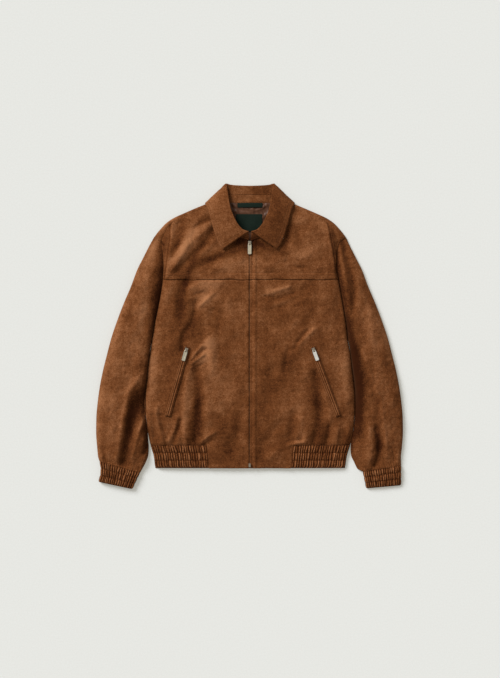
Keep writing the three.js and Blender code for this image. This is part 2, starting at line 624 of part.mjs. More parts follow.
function addCollar() {
  const last = 2 * (collarTable.length - 1);
  const down = [0, 0.06, 0.3, 0.62, 1];
  const fall = (inset) => (row, column) => {
    const { roll, edge, inward } = collarStation(column);
    const share = down[row];
    const point = roll.map((value, axis) => mix(value, edge[axis], share));
    if (inward[2] < 0) point[2] += collarCrown * Math.sin(Math.PI * share);
    return movedIn(point, inward, inset);
  };
  addWall('collar_fall', down.length - 1, last, fall(0), fall(suede), 'suede');
  const up = [0, 0.35, 0.7, 1];
  const stand = (inset) => (row, column) => {
    const { roll, neck, inward } = collarStation(column);
    const top = movedIn(roll, inward, suede + seam);
    const point = neck.map((value, axis) => mix(value, top[axis], up[row]));
    return movedIn(point, inward, inset);
  };
  addWall('collar_stand', up.length - 1, last, stand(0), stand(suede), 'suede');
}

// Height of the highest point of the given meshes above a place.
const downward = new THREE.Vector3(0, 0, -1);

function topOf(meshes, x, y) {
  const caster = new THREE.Raycaster(new THREE.Vector3(x, y, 200), downward);
  const hits = caster.intersectObjects(meshes, false);
  return hits.length > 0 ? hits[0].point.z : 0;
}

function addNeckInside(back) {
  const addLayer = (name, rows, columns, place, carriers, thick, finish) => {
    const at = (offset) => (row, column) => {
      const [x, y, up = 0] = place(row / rows, column / columns);
      return [x, y, topOf(carriers, x, y) + seam + layerPlay + up + offset];
    };
    return addWall(name, rows, columns, at(thick), at(0), finish);
  };
  const facingPlace = (down, across) => [
    mix(-facing.halfWidth, facing.halfWidth, across),
    mix(facing.top - facing.bow * Math.abs(2 * across - 1), facing.bottom, down),
  ];
  const band = addLayer('neck_facing', 2, 8, facingPlace, [back], facing.thick, 'suede');
  const liningPlace = (down, across) => {
    const half = mix(liningPatch.halfTop, liningPatch.halfBottom, down);
    return [mix(-half, half, across), mix(liningPatch.top, liningPatch.bottom, down)];
  };
  const patch = addLayer('back_lining', 9, 8, liningPlace, [back], lining, 'lining');
  const loopPlace = (down, across) => [
    mix(-loopStrip.halfLength, loopStrip.halfLength, across),
    loopStrip.y + loopStrip.width * (0.5 - down),
    loopStrip.arch * Math.sin(Math.PI * across),
  ];
  addLayer('hanger_loop', 1, 8, loopPlace, [band, patch], lining, 'green');
  const labelPlace = (down, across) => [mix(label.x0, label.x1, across), mix(label.y1, label.y0, down)];
  addLayer('neck_label', 4, 3, labelPlace, [patch], lining, 'green');
}

function addFrontZip() {
  const levels = bodyTable.map((row) => row.y).filter((y) => y <= capY);
  levels[levels.length - 1] += frontTape.above;
  const tape = (depth) => (row, column) => {
    const [, y, crown] = frontPoint(1, 0, levels[row], 0);
    return [zipX + (column * 2 - 1) * frontTape.halfWidth, y, crown - suede - 2 * seam - depth];
  };
  addWall('front_zip_tape', levels.length - 1, 1, tape(0), tape(frontTape.thick), 'tape');
  const box = new THREE.BoxGeometry(zipBox.width, zipBox.length, zipBox.height);
  const boxMesh = addMesh('front_zip_box', box, 'metal');
  const hemZ = lookUp(bodyTable, 'y', zipBox.y, 'height');
  boxMesh.position.set(zipX, zipBox.y, hemZ + zipBox.lift + zipBox.height / 2);
}

// Box between two corners, as a solid to join or cut.
function block(low, high) {
  const size = high.map((value, axis) => value - low[axis]);
  const geometry = new THREE.BoxGeometry(...size);
  geometry.translate(...low.map((value, axis) => value + size[axis] / 2));
  return toSolid(geometry);
}

function toSolid(geometry) {
  geometry.deleteAttribute('normal');
  geometry.deleteAttribute('uv');
  const merged = mergeVertices(geometry, 1e-4);
  return new wasm.Manifold(new wasm.Mesh({
    numProp: 3,
    vertProperties: merged.attributes.position.array,
    triVerts: new Uint32Array(merged.index.array),
  }));
}

function toGeometry(solid) {
  const mesh = solid.getMesh();
  const geometry = new THREE.BufferGeometry();
  geometry.setAttribute('position', new THREE.BufferAttribute(mesh.vertProperties, 3));
  geometry.setIndex(new THREE.BufferAttribute(mesh.triVerts, 1));
  geometry.computeVertexNormals();
  return geometry;
}

// Slider: y runs along the zip to its closed end, z up. Its bridge holds the pull's bar at the origin.
const barHeight = slider.base + playAtBar + pull.thick / 2;

function sliderSolid() {
  const halfLength = slider.length / 2;
  const top = playAtBar + pull.thick / 2;
  const bodyBlock = block(
    [-slider.width / 2, -halfLength, -barHeight],
    [slider.width / 2, halfLength, -top],
  );
  const bridge = block(
    [-slider.bridge / 2, -slider.bridgeHalf, -top - slider.base / 2],
    [slider.bridge / 2, slider.bridgeHalf, top + slider.roof],
  );
  const hollow = block(
    [-slider.bridge, -slider.bridgeHalf + slider.leg, -top],
    [slider.bridge, slider.bridgeHalf - slider.leg, top],
  );
  return bodyBlock.add(bridge.subtract(hollow));
}

// Pull tab lying towards -y from its bar at the origin, with the hole that the bridge passes through.
function pullSolid() {
  const half = pull.width / 2;
  const neck = pull.neck / 2;
  const end = pull.bar / 2 - pull.length;
  const { round } = pull;
  const shape = new THREE.Shape();
  shape.moveTo(-neck, pull.bar / 2);
  shape.lineTo(-half, -pull.holeLength - pull.bar);
  shape.lineTo(-half, end + round);
  shape.lineTo(-half + round, end);
  shape.lineTo(half - round, end);
  shape.lineTo(half, end + round);
  shape.lineTo(half, -pull.holeLength - pull.bar);
  shape.lineTo(neck, pull.bar / 2);
  shape.closePath();
  const plate = new THREE.ExtrudeGeometry(shape, { depth: pull.thick, bevelEnabled: false, steps: 1 });
  plate.translate(0, 0, -pull.thick / 2);
  const hole = block(
    [-pull.holeWidth / 2, -pull.bar / 2 - pull.holeLength, -pull.thick],
    [pull.holeWidth / 2, -pull.bar / 2, pull.thick],
  );
  const groove = block(
    [-pull.grooveWidth / 2, end + pull.grooveMargin, pull.thick / 2 - pull.groove],
    [pull.grooveWidth / 2, -pull.holeLength - pull.grooveMargin, pull.thick],
  );
  return toSolid(plate).subtract(hole).subtract(groove);
}

// Places a slider and its pull on the cloth, along the zip's direction and level with the cloth there.
function addZipHead(prefix, carriers, x, y, alongX, alongY) {
  const length = Math.hypot(alongX, alongY);
  const ahead = [alongX / length, alongY / length];
  const reach = slider.length / 2;
  const heightAt = (forward, across) => topOf(
    carriers,
    x + ahead[0] * forward + ahead[1] * across,
    y + ahead[1] * forward - ahead[0] * across,
  );
  const sides = [-slider.width / 2, 0, slider.width / 2];
  const highest = (forward) => Math.max(...sides.map((across) => heightAt(forward, across)));
  const [front, middle, rear] = [highest(reach), highest(0), highest(-reach)];
  const level = Math.max((front + rear) / 2, middle) + seam + layerPlay;
  const yAxis = new THREE.Vector3(ahead[0] * 2 * reach, ahead[1] * 2 * reach, front - rear).normalize();
  const xAxis = new THREE.Vector3(ahead[1], -ahead[0], 0);
  const zAxis = new THREE.Vector3().crossVectors(xAxis, yAxis);
  const place = new THREE.Group();
  place.name = `${prefix}_zip_place`;
  place.position.set(x, y, level).addScaledVector(zAxis, barHeight);
  place.quaternion.setFromRotationMatrix(new THREE.Matrix4().makeBasis(xAxis, yAxis, zAxis));
  place.add(addMesh(`${prefix}_slider`, toGeometry(sliderSolid()), 'metal'));
  place.add(addMesh(`${prefix}_pull`, toGeometry(pullSolid()), 'metal'));
  jacket.add(place);
}

// Pocket: a stitched frame round the slit, with the zip's closed coil showing in it.
function addPocket(side, panel) {
  const name = sideName(side);
  const line = pockets[name];
  const length = Math.hypot(line.x1 - line.x0, line.y1 - line.y0);
  const ahead = [(line.x1 - line.x0) / length, (line.y1 - line.y0) / length];
  const across = [-4, -2, 0, 2, 4].map((step) => step * welt.halfWidth / 4);
  across[1] = -welt.slit;
  across[3] = welt.slit;
  const rowShare = (row) => {
    if (row === 0 || row === welt.rows) return row / welt.rows;
    return mix(welt.end, 1 - welt.end, (row - 1) / (welt.rows - 2));
  };
  const at = (lift) => (row, column) => {
    const x = mix(line.x0, line.x1, rowShare(row)) - ahead[1] * across[column];
    const y = mix(line.y0, line.y1, rowShare(row)) + ahead[0] * across[column];
    return [x, y, topOf([panel], x, y) + welt.lift + lift];
  };
  const frame = (row, column) => row === 0 || row === welt.rows - 1 || column === 0 || column === 3;
  const lip = addWall(`pocket_welt_${name}`, welt.rows, 4, at(welt.thick), at(0), 'suede', frame);
  const coilAt = (lift) => (row, column) => {
    const inside = welt.end + 0.005;
    const share = mix(inside, 1 - inside, row / welt.rows);
    const offset = (column * 2 - 1) * (welt.slit - seam);
    const x = mix(line.x0, line.x1, share) - ahead[1] * offset;
    const y = mix(line.y0, line.y1, share) + ahead[0] * offset;
    return [x, y, topOf([panel], x, y) + welt.lift + lift];
  };
  const coil = addWall(`pocket_zip_${name}`, welt.rows, 1, coilAt(welt.coil), coilAt(0), 'tape');
  addZipHead(`pocket_${name}`, [lip, coil, panel], line.x0 + ahead[0] * pocketHeadAt,
    line.y0 + ahead[1] * pocketHeadAt, -ahead[0], -ahead[1]);
}

const fronts = addFronts();
addHemElastics();
const back = addBack();
addSleeves();
addCuffs();
addCollar();
addNeckInside(back);
addFrontZip();
addPocket(-1, fronts.front_panel_right);
addPocket(1, fronts.front_panel_left);
addZipHead('front', [fronts.front_yoke_right, fronts.front_yoke_left], zipX, frontHeadY, 0, 1);

export default jacket;
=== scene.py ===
import bpy
import bmesh
import math
import numpy as np
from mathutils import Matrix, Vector


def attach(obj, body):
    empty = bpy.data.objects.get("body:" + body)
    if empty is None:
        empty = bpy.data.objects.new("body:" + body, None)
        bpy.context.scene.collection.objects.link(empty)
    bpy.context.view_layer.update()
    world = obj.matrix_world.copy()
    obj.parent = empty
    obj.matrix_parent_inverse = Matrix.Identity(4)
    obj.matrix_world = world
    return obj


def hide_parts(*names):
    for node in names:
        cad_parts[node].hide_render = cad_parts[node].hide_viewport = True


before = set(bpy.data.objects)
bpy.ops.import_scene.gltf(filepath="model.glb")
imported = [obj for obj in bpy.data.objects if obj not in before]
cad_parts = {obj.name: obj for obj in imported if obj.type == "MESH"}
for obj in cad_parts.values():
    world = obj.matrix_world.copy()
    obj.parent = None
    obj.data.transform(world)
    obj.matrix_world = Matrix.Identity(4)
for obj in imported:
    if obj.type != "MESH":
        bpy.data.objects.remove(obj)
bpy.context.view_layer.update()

# Suede blouson lying flat on its back. Lengths below are in millimetres, x to the wearer's left,
# y to the collar, z up; side is -1 for the wearer's right and +1 for the left.
mm = 0.001
pi = math.pi
sides = ((-1, "Right"), (1, "Left"))

# Places of the cut that the pieces share
cut = dict(
    zipX=-0.8, zipHalfGap=0.9, yokeSeamY=141.5, bandTopY=-272.5, hemY=-329.5, elasticFrom=0.435,
    underarmY=-10.0, capY=233.0, notchY=246.0, notchX=239.5, plate=2.7, valley=6.5,
    sleeveGap=1.0, cloth=1.5, corner=8.0, bulge=0.9, bandGap=0.4, ground=0.15,
)

# y, half width on the right, half width on the left, height of the front
bodyTable = np.array([
    (233.0, 222, 222, 20), (205, 217.5, 216, 21.5), (173, 215.5, 215.5, 22.5), (141.5, 217, 220, 23),
    (105, 222, 226.5, 23.5), (68, 229, 233, 24), (30, 237, 239, 24), (-10, 244, 243.5, 24),
    (-45, 249.5, 250.5, 24), (-80, 254, 254.5, 23.5), (-115, 257, 258.5, 23), (-150, 259, 261, 22.5),
    (-185, 259.5, 261, 21.5), (-220, 257.5, 259, 20), (-250, 252.5, 254.5, 17.5),
    (-272.5, 247.5, 249.5, 14.5), (-301, 239.5, 241, 12.5), (-329.5, 236, 237, 11),
])
# share of the half width, y and height of the front's top edge, x and y of the back's top edge
topTable = np.array([
    (0, 238, 20, 0, 352), (0.06, 243, 20, 13, 352), (0.15, 255, 19.5, 33, 351.5),
    (0.23, 275, 18, 51, 350.5),
    (0.29, 303, 16, 64, 348.5), (0.345, 335, 12, 78, 345), (0.47, 323.5, 12, 107, 330.5),
    (0.58, 313, 12, 131, 320.5), (0.72, 299, 12, 165, 306), (0.83, 287, 11.5, 190, 294.5),
    (0.9, 277, 11, 208, 282.5), (0.955, 258, 9.5, 224, 266), (0.985, 242, 8, 235, 252.5),
    (1, 233, 6.6, 239.5, 246),
])
# outer edge x and y, inner edge x (0 follows the body) and y, crown height
sleeveTable = np.array([
    (239.5, 246, 0, -10, 8.5), (251, 225, 0, -28, 16), (266, 195, 0, -48, 20.5), (281, 165, 0, -72, 23),
    (296, 125, 0, -98, 24), (313, 85, 0, -123, 24.5), (328.5, 45, 0, -148, 25), (345.5, -5, 0, -173, 25),
    (356, -45, 0, -198, 25), (366, -85, 0, -220, 25), (374, -125, 0, -240, 24.5),
    (379, -160, 254, -259, 24),
    (383, -205, 252.5, -279, 23), (383.5, -240, 253.5, -296, 21.5), (381, -277, 260, -315, 18.5),
    (378.5, -302, 269, -332, 15),
])
# cuff corners: top outer, top inner, end outer, end inner
cuffCorners = {
    -1: ((-376, -312), (-274, -341), (-379, -363.5), (-293, -382)),
    1: ((377.5, -322.5), (281, -338.5), (377.7, -372.5), (289.7, -380.5)),
}
# collar stations: roll x y z, edge x y z, neck seam x y z, turn of the fall's inside in degrees
collarTable = np.array([
    (3, 259.5, 32, 67, 215, 24.4, 2.2, 237.6, 23.4, -90),
    (16, 263.5, 33.5, 76.5, 228, 25, 24, 246, 23.3, -90),
    (29, 276.5, 33.5, 84.5, 247, 25, 37, 254.5, 23.2, -90),
    (37.5, 291.5, 33, 90.5, 265, 24.4, 48, 267, 22.4, -90),
    (44.5, 308, 31, 95.5, 283, 23.5, 57, 280, 21.5, -90),
    (49.5, 325, 28, 100, 299, 22, 63, 292.5, 20.6, -90),
    (52.5, 342, 23.5, 103.5, 312, 20.5, 68.5, 305.5, 19.6, -86),
    (55.5, 360, 18, 107, 322, 17.5, 73.5, 322, 18.4, -70),
    (58.5, 373, 12.5, 111.2, 329.3, 12.5, 75.2, 341.5, 13.4, -30),
    (60, 381, 6.5, 112.5, 331, 7, 74, 348.5, 7.4, 10), (56.5, 380.5, 2.4, 110, 328.5, 1.4, 66, 350, 5, 55),
    (49, 377.5, 1, 101, 319, 0, 55, 351.2, 3.6, 88), (36, 376, 0.8, 80, 309, 0, 38, 351.8, 3.5, 90),
    (18, 375, 0.8, 42, 303, 0, 19, 352.3, 3.5, 90), (0, 374.5, 0.8, 0, 301, 0, 0, 352.4, 3.5, 90),
])


def ease(value):
    # smooth step from 0 to 1
    share = np.clip(value, 0, 1)
    return share * share * (3 - 2 * share)


def mix(a, b, share):
    return a + (b - a) * share


def along(keys, values, at):
    # cubic through the rows; slopes are the harmonic mean of the two sides, so it never overshoots
    order = np.argsort(keys)
    k, v = np.asarray(keys, float)[order], np.asarray(values, float)[order]
    step = np.diff(k)
    rise = np.diff(v) / step
    slope = np.zeros_like(v)
    both = rise[:-1] * rise[1:]
    slope[1:-1] = np.where(both > 0, 2 * both / (rise[:-1] + rise[1:] + 1e-12), 0)
    slope[0], slope[-1] = rise[0], rise[-1]
    at = np.clip(at, k[0], k[-1])
    i = np.clip(np.searchsorted(k, at, side="right") - 1, 0, len(k) - 2)
    h = step[i]
    t = (at - k[i]) / h
    return ((2 * t ** 3 - 3 * t ** 2 + 1) * v[i] + (t ** 3 - 2 * t ** 2 + t) * h * slope[i]
            + (3 * t ** 2 - 2 * t ** 3) * v[i + 1] + (t ** 3 - t ** 2) * h * slope[i + 1])


def dome(offset, sharpness):
    # rounded section: 1 in the middle, 0 at offset -1 and 1
    return np.maximum(0, 1 - np.abs(offset) ** sharpness) ** (1 / sharpness)


def evenShares(count, sharpness, width, height, both=False):
    # places across a rounded section that are evenly spaced along its arc
    angle = np.linspace(-pi / 2 if both else 0, pi / 2, 2000)
    place = np.sign(angle) * np.abs(np.sin(angle)) ** (2 / sharpness)
    tall = height * np.maximum(np.cos(angle), 0) ** (2 / sharpness)
    arc = np.concatenate([[0], np.cumsum(np.hypot(np.diff(place) * width, np.diff(tall)))])
    return np.interp(np.linspace(0, arc[-1], count), arc, place)


def ripple(x, y, size, seed, waves=14):
    # soft random relief: a sum of plane waves in random directions, about 1 high
    draw = np.random.default_rng(seed)
    total = np.zeros(np.shape(x))
    for _ in range(waves):
        turn, phase = draw.uniform(0, 2 * pi, 2)
        pace = 2 * pi / (size * draw.uniform(0.7, 1.6))
        total = total + np.sin(pace * (np.cos(turn) * x + np.sin(turn) * y) + phase)
    return total / math.sqrt(waves / 2)


# Section of a fold: shares of a narrow bell and of a wide one, and how much wider that is
foldBell = dict(ridge=0.66, skirt=0.34, skirtWidth=2.2)


def fromSegment(x, y, start, end):
    # offset of a place from the nearest point of a straight piece of line, and the way the line runs
    dx, dy = end[0] - start[0], end[1] - start[1]
    share = np.clip(((x - start[0]) * dx + (y - start[1]) * dy) / (dx * dx + dy * dy), 0, 1)
    return x - start[0] - share * dx, y - start[1] - share * dy, dx, dy


def foldRelief(folds, x, y):
    # each fold: points, half width, height, lean; a narrow bell on a wide one across its line, steeper
    # on the side it leans to
    total = np.zeros(np.shape(x))
    for points, width, height, lean in folds:
        near = np.full(np.shape(x), np.inf)
        sign = np.ones(np.shape(x))
        for start, end in zip(points[:-1], points[1:]):
            px, py, dx, dy = fromSegment(x, y, start, end)
            off = np.hypot(px, py)
            closer = off < near
            sign = np.where(closer, np.sign(dx * py - dy * px), sign)
            near = np.where(closer, off, near)
        across = near / (width * (1 + lean * sign))
        ridge = foldBell["ridge"] * np.exp(-across ** 2)
        total = total + height * (ridge + foldBell["skirt"] * np.exp(-(across / foldBell["skirtWidth"]) ** 2))
    return total


def wear(x, y, layers):
    # sum of ripples, each of its own size and height
    return sum(height * ripple(x, y, size, seed) for size, height, seed in layers)


def creaseLine(distance, width):
    # bell across a seam or stitch line
    return np.exp(-(distance / width) ** 2)


def halfWidth(side, y):
    # the outline's own half width on one side
    return along(bodyTable[:, 0], bodyTable[:, 1 if side < 0 else 2], y)


def crownHeight(y):
    # height of the front along its middle
    return along(bodyTable[:, 0], bodyTable[:, 3], y)


def topLine(column, share):
    # one measure of the top edge at a share of the half width
    columns = dict(frontY=1, frontZ=2, backX=3, backY=4)
    return along(topTable[:, 0], topTable[:, columns[column]], share)


def bodyEdge(side, y):
    # half width at a height, with the hem's corner rounded off by a quarter circle
    corner = np.clip((cut["hemY"] + cut["corner"] - y) / cut["corner"], 0, 1)
    rounding = cut["corner"] * (1 - np.sqrt(1 - corner ** 2))
    return side * (halfWidth(side, y) - rounding)


def edgeHeight(y):
    # side edge on the back panel below the underarm, in the armhole's valley above it
    way = (cut["notchY"] - y) / (cut["notchY"] - cut["underarmY"])
    valley = cut["plate"] + (cut["valley"] - cut["plate"]) * dome(2 * np.clip(way, 0, 1) - 1, 3)
    return np.where(y <= cut["underarmY"], cut["plate"], valley)


print("measures ready")

# Folds of the fronts: points, half width, height (below 0 a trough), lean
bodyFolds = [
    # right yoke
    (((-196, 277), (-193, 250), (-199, 222), (-206, 185), (-208, 150)), 5, 2.2, 0),
    (((-177, 295), (-174, 260), (-180, 215)), 9, -2.0, 0),
    (((-116, 307), (-136, 282), (-154, 247), (-171, 212), (-189, 177)), 11, 2.4, 0),
    (((-101, 289), (-121, 282), (-138, 269)), 6, -2.2, 0),
    (((-100, 276), (-128, 249), (-153, 226), (-170, 201), (-188, 171)), 9.5, 3.6, -0.2),
    (((-91, 264), (-108, 236), (-128, 214), (-148, 194), (-181, 164)), 9, -3.3, 0.2),
    (((-89, 239), (-104, 221), (-124, 201)), 8, 2.2, 0),
    (((-78, 198), (-103, 185), (-133, 168)), 8, -2.6, 0),
    (((-18, 189), (-58, 174), (-90, 164)), 10, 1.8, 0),
    (((-154, 243), (-149, 225)), 2.6, -1.0, 0),
    (((-144, 245), (-140, 230)), 2.6, -0.9, 0),
    (((-167, 195), (-150, 175)), 5, 1.2, 0),
    # left yoke
    (((190, 285), (197, 253), (205, 215), (212, 170), (217, 148)), 5, 2.4, 0),
    (((105, 325), (118, 310)), 5, -2.6, 0),
    (((102, 305), (132, 285), (150, 262)), 13, 2.4, 0),
    (((117, 261), (124, 241), (139, 221)), 7, -1.5, 0),
    (((92, 186), (107, 174), (132, 168)), 5, -2.4, 0),
    (((67, 208), (92, 198)), 8, -1.6, 0),
    (((114, 214), (139, 199)), 10, 2.0, 0),
    (((50, 200), (73, 178)), 5, -1.2, 0),
    (((30, 185), (50, 165)), 6, 1.0, 0),
    # right front
    (((-127, 132), (-70, 133)), 6, 1.6, 0),
    (((-150, 120), (-133, 125), (-118, 115)), 6, 2.4, 0),
    (((-93, 105), (-108, 90), (-123, 77)), 5.5, 3.0, 0.2),
    (((-137, 103), (-117, 108)), 3.5, -1.6, 0),
    (((-164, 134), (-174, 107), (-176, 79), (-174, 62)), 10, -3.8, 0.2),
    (((-136, 81), (-138, 54), (-142, 36), (-153, 21), (-166, 4), (-169, -31)), 7, -3.6, 0.2),
    (((-154, 89), (-159, 44), (-177, 1)), 9, 2.0, 0),
    (((-198, 123), (-208, 96)), 8, 1.8, 0),
    (((-94, 62), (-94, 52)), 8, -2.0, 0),
    (((-78, 38), (-77, 5)), 7, -2.0, 0),
    (((-55, 91), (-48, 46)), 9, 1.2, 0),
    (((-107, -14), (-96, -44), (-96, -84)), 8, 3.2, 0.2),
    (((-75, -29), (-70, -64)), 9, -1.8, 0),
    (((-121, -25), (-133, -39), (-147, -58)), 3.6, 3.2, 0.2),
    (((-115, -46), (-129, -57), (-146, -69)), 3.6, 3.4, 0),
    (((-111, -34), (-129, -47)), 3, -1.8, 0),
    (((-116, -70), (-136, -80)), 4, -2.0, 0),
    (((-133, -88), (-130, -120), (-125, -160), (-127, -205), (-128, -245), (-139, -263)), 10, -4.4, -0.2),
    (((-147, -81), (-159, -131), (-164, -186), (-164, -251)), 9, 3.6, 0.2),
    (((-112, -100), (-104, -155), (-107, -210)), 10, 1.8, 0),
    (((-87, -146), (-67, -189)), 9, 1.4, 0),
    (((-230, -175), (-234, -197), (-226, -230), (-218, -262)), 4.6, 2.6, 0),
    (((-221, -197), (-214, -234)), 5.5, -2.4, 0),
    (((-180, -201), (-188, -234), (-202, -261)), 4.6, 2.8, 0),
    (((-172, -211), (-182, -241), (-188, -263)), 5, -3.4, 0),
    (((-241, -197), (-235, -250)), 5, -2.0, 0),
    (((-88, -240), (-106, -250), (-118, -262)), 4.5, 2.6, 0),
    (((-96, -260), (-116, -272)), 4, -1.8, 0),
    (((-159, -249), (-149, -267)), 4, -2.4, 0),
    (((-21, -208), (-44, -278), (-61, -313)), 14, -2.0, 0),
    (((-216, -10), (-208, -90), (-221, -155)), 14, -1.2, 0),
    # left front
    (((46, 105), (71, 114), (96, 121)), 6, 2.6, 0.2),
    (((108, 106), (70, 93), (40, 97)), 5, -2.4, 0),
    (((153, 130), (121, 98), (78, 73), (48, 65)), 9, -1.5, 0),
    (((52, 74), (89, 86), (127, 106)), 6, 1.2, 0),
    (((160, 17), (140, -1), (120, -23)), 5.5, 3.0, 0.2),
    (((143, 13), (123, -11), (113, -29)), 5, -2.8, 0),
    (((106, 32), (81, -13)), 10, 1.3, 0),
    (((94, -35), (89, -75)), 6, -2.6, 0),
    (((76, -41), (68, -98)), 9, 1.3, 0),
    (((55, -86), (45, -126), (47, -166)), 11, -1.8, 0),
    (((223, 90), (219, 28), (225, -10)), 9, -1.8, 0),
    (((163, -95), (166, -135), (173, -185), (170, -235), (159, -265)), 12, -3.6, 0.2),
    (((188, -140), (198, -190), (201, -220)), 6, 1.6, 0),
    (((197, -225), (193, -265)), 4.6, -3.2, 0),
    (((110, -193), (99, -251)), 8, -2.8, 0),
    (((127, -209), (134, -259)), 8, 2.8, 0),
    (((69, -226), (39, -263), (25, -308)), 11, -2.0, 0),
    (((71, -279), (36, -314)), 8, 1.8, 0),
    (((98, -271), (132, -265)), 3.4, 2.4, 0),
    (((93, -263), (125, -258)), 2.6, -1.6, 0),
    (((236, -240), (233, -273)), 5, -2.4, 0),
    (((218, -230), (216, -270)), 5, 1.8, 0),
    (((233, -35), (243, -110), (238, -172)), 13, 1.4, 0),
]

# Seams where the back turns forward over each shoulder, a groove each
shoulderSeams = [
    (((-199, 284), (-200.5, 235), (-206, 195), (-212.5, 150), (-214, 142)), 1.5, 1, 0),
    (((-238, 247), (-224, 237), (-214, 226)), 1.5, 1, 0),
    (((193, 287), (202, 240), (211, 188), (217, 142)), 1.5, 1, 0),
    (((238, 247), (226, 240), (215, 230)), 1.5, 1, 0),
]

# Random unevenness of the fronts: size of the waves in mm, height in mm, seed
bodyWear = [(70, 0.55, 11), (32, 0.34, 12), (15, 0.16, 13), (8, 0.06, 14)]

# Gathering: rows of ribs in a band, softer puckers above it
gather = dict(
    rows=3, ribs=22, ribDepth=3.0, crest=1.1, rowBulge=0.45, uneven=0.27, drift=0.12, sway=0.08, swaySize=26,
    lowest=0.65, highest=1.1, fine=0.12, puff=2.3, seed=5, above=36.0, aboveDepth=1.9, pleatReach=2.6,
    swells=9, swell=1.1, groove=1.6, grooveHalf=2.6, puffMiddle=0.75, ribMiddle=0.4, ribAtSeam=0.25,
)


def ribPhase(share, ribs, seed, wander):
    # number of ribs passed at a place: they are unevenly spaced
    draw = np.random.default_rng(seed)
    knots = np.linspace(0, 1, ribs + 1)
    shift = np.concatenate([[0], draw.uniform(-gather["uneven"], gather["uneven"], ribs - 1), [0]]) / ribs
    return ribs * np.interp(share, knots, knots + shift) + wander


def gatherRelief(share, down, ribs, seed):
    # puffed rows between stitch lines. Each rib is a broad crest between narrow valleys; ribs are
    # unevenly spaced and high, sway a little, and shift from row to row
    row = np.clip(down, 0, 1) * gather["rows"]
    index = np.minimum(np.floor(row), gather["rows"] - 1).astype(int)
    puffed = np.sin(pi * np.clip(row - index, 0, 1)) ** gather["rowBulge"]
    draw = np.random.default_rng(seed + 40)
    drift = draw.uniform(-gather["drift"], gather["drift"], gather["rows"])[index]
    sway = ripple(share * 300, down * 50 + 17 * index, gather["swaySize"], seed + 1)
    wander = drift + gather["sway"] * sway
    phase = ribPhase(share, ribs, seed, wander)
    fromCrest = np.abs(phase - np.floor(phase) - 0.5)
    heights = draw.uniform(gather["lowest"], gather["highest"], (gather["rows"], ribs + 3))
    crestHeight = heights[index, np.clip(np.floor(phase).astype(int) + 1, 0, ribs + 2)]
    crest = crestHeight * np.cos(pi * np.minimum(fromCrest, 0.5)) ** gather["crest"]
    small = np.abs(np.sin(pi * ribPhase(share, 2 * ribs + 3, seed + 9, 1.4 * wander)))
    return puffed, mix(crest, small, gather["fine"])


def gatherHeight(puffed, rib, puff, depth):
    # rows bulge and their ribs stand up, less so at the stitch lines
    ribs = depth * mix(gather["ribAtSeam"], 1, puffed) * (rib - gather["ribMiddle"])
    return puff * (puffed - gather["puffMiddle"]) + ribs


def pleats(share, ribs, seed):
    # sharp little pleats of the gathers, seen above the band
    return np.abs(np.sin(pi * ribPhase(share, ribs, seed, 0))) - 0.6


# Front edges: ridges and stitch grooves beside the closing line. place across, half width, height
placket = dict(
    edges=[(-6.0, 5.2, 1.0), (12.8, 4.0, 1.3), (5.4, 3.4, -1.3), (1.6, 0.9, 0.7)],
    stitches=[-12.6, -7.0, 18.6, 9.4], stitchDepth=0.6, stitchWidth=0.9,
)


def placketRelief(x):
    # sum of flat-topped bells for the turned edges, less a groove along each stitch row
    total = np.zeros(np.shape(x))
    for centre, half, height in placket["edges"]:
        total = total + height * np.exp(-((x - centre) / half) ** 4)
    for place in placket["stitches"]:
        total = total - placket["stitchDepth"] * creaseLine(x - place, placket["stitchWidth"])
    return total


def frontPlace(side, S, L):
    # share runs from the zip edge to the side edge, level down the side
    rise = np.clip((L - cut["yokeSeamY"]) / (cut["capY"] - cut["yokeSeamY"]), 0, 1)
    topY = topLine("frontY", S)
    y = np.where(L <= cut["yokeSeamY"] + 3, L, mix(cut["yokeSeamY"], topY, rise))
    x = mix(cut["zipX"] + side * cut["zipHalfGap"], bodyEdge(side, L), S)
    return x, y, topY, rise


# Pocket slits, from the head to the foot of each
pocketLines = {-1: ((-156, -27), (-205, -200)), 1: ((155, -27), (220, -200))}

# The fronts' relief: how far the folds fade towards each edge, and the grooves along zip and hem
frontRelief = dict(
    sharpness=4.2, foldGain=1.3, side=0.05, zipClear=6.0, zip=16.0, top=12.0, hem=40.0, wear=8.0, edges=6.0,
    pocket=11.0, closing=1.0, closingHalf=0.9, hemStitch=0.7, hemStitchUp=8.0, hemRound=0.6, hemRoundHalf=3.0,
)


def pocketCalm(side, x, y):
    # 1 away from the pocket, 0 along its slit
    px, py, _, _ = fromSegment(x, y, *pocketLines[side])
    return 1 - np.exp(-(np.hypot(px, py) / frontRelief["pocket"]) ** 4)


def frontDome(S, L, sharpness):
    # rounded section across half the body, from the side edge's height up to the crown
    base = edgeHeight(L)
    return base + (crownHeight(L) - base) * dome(S, sharpness)


def inElastic(S):
    # 0 where the gathered stretch of the band begins, 1 at the side edge
    return (S - cut["elasticFrom"]) / (1 - cut["elasticFrom"])


def puckers(side, S, y, sideFade):
    # pleats and wide swells that run up out of the gathers and fade, and a groove along the band's top
    share = np.clip(inElastic(S), 0, 1)
    up = (y - cut["bandTopY"]) / gather["above"]
    pleat = pleats(share, gather["ribs"], gather["seed"])
    wide = np.sin(pi * ribPhase(share, gather["swells"], gather["seed"] + 3, 0) + side)
    height = pleat * np.exp(-(np.maximum(up, 0) * gather["pleatReach"]) ** 1.3)
    height = height + gather["swell"] * wide * np.exp(-((up - 0.5) / 0.8) ** 2)
    groove = gather["groove"] * creaseLine(y - cut["bandTopY"], gather["grooveHalf"])
    inBand = ease(inElastic(S) / 0.03) * (up > -0.05)
    return inBand * (sideFade * gather["aboveDepth"] * height - groove)


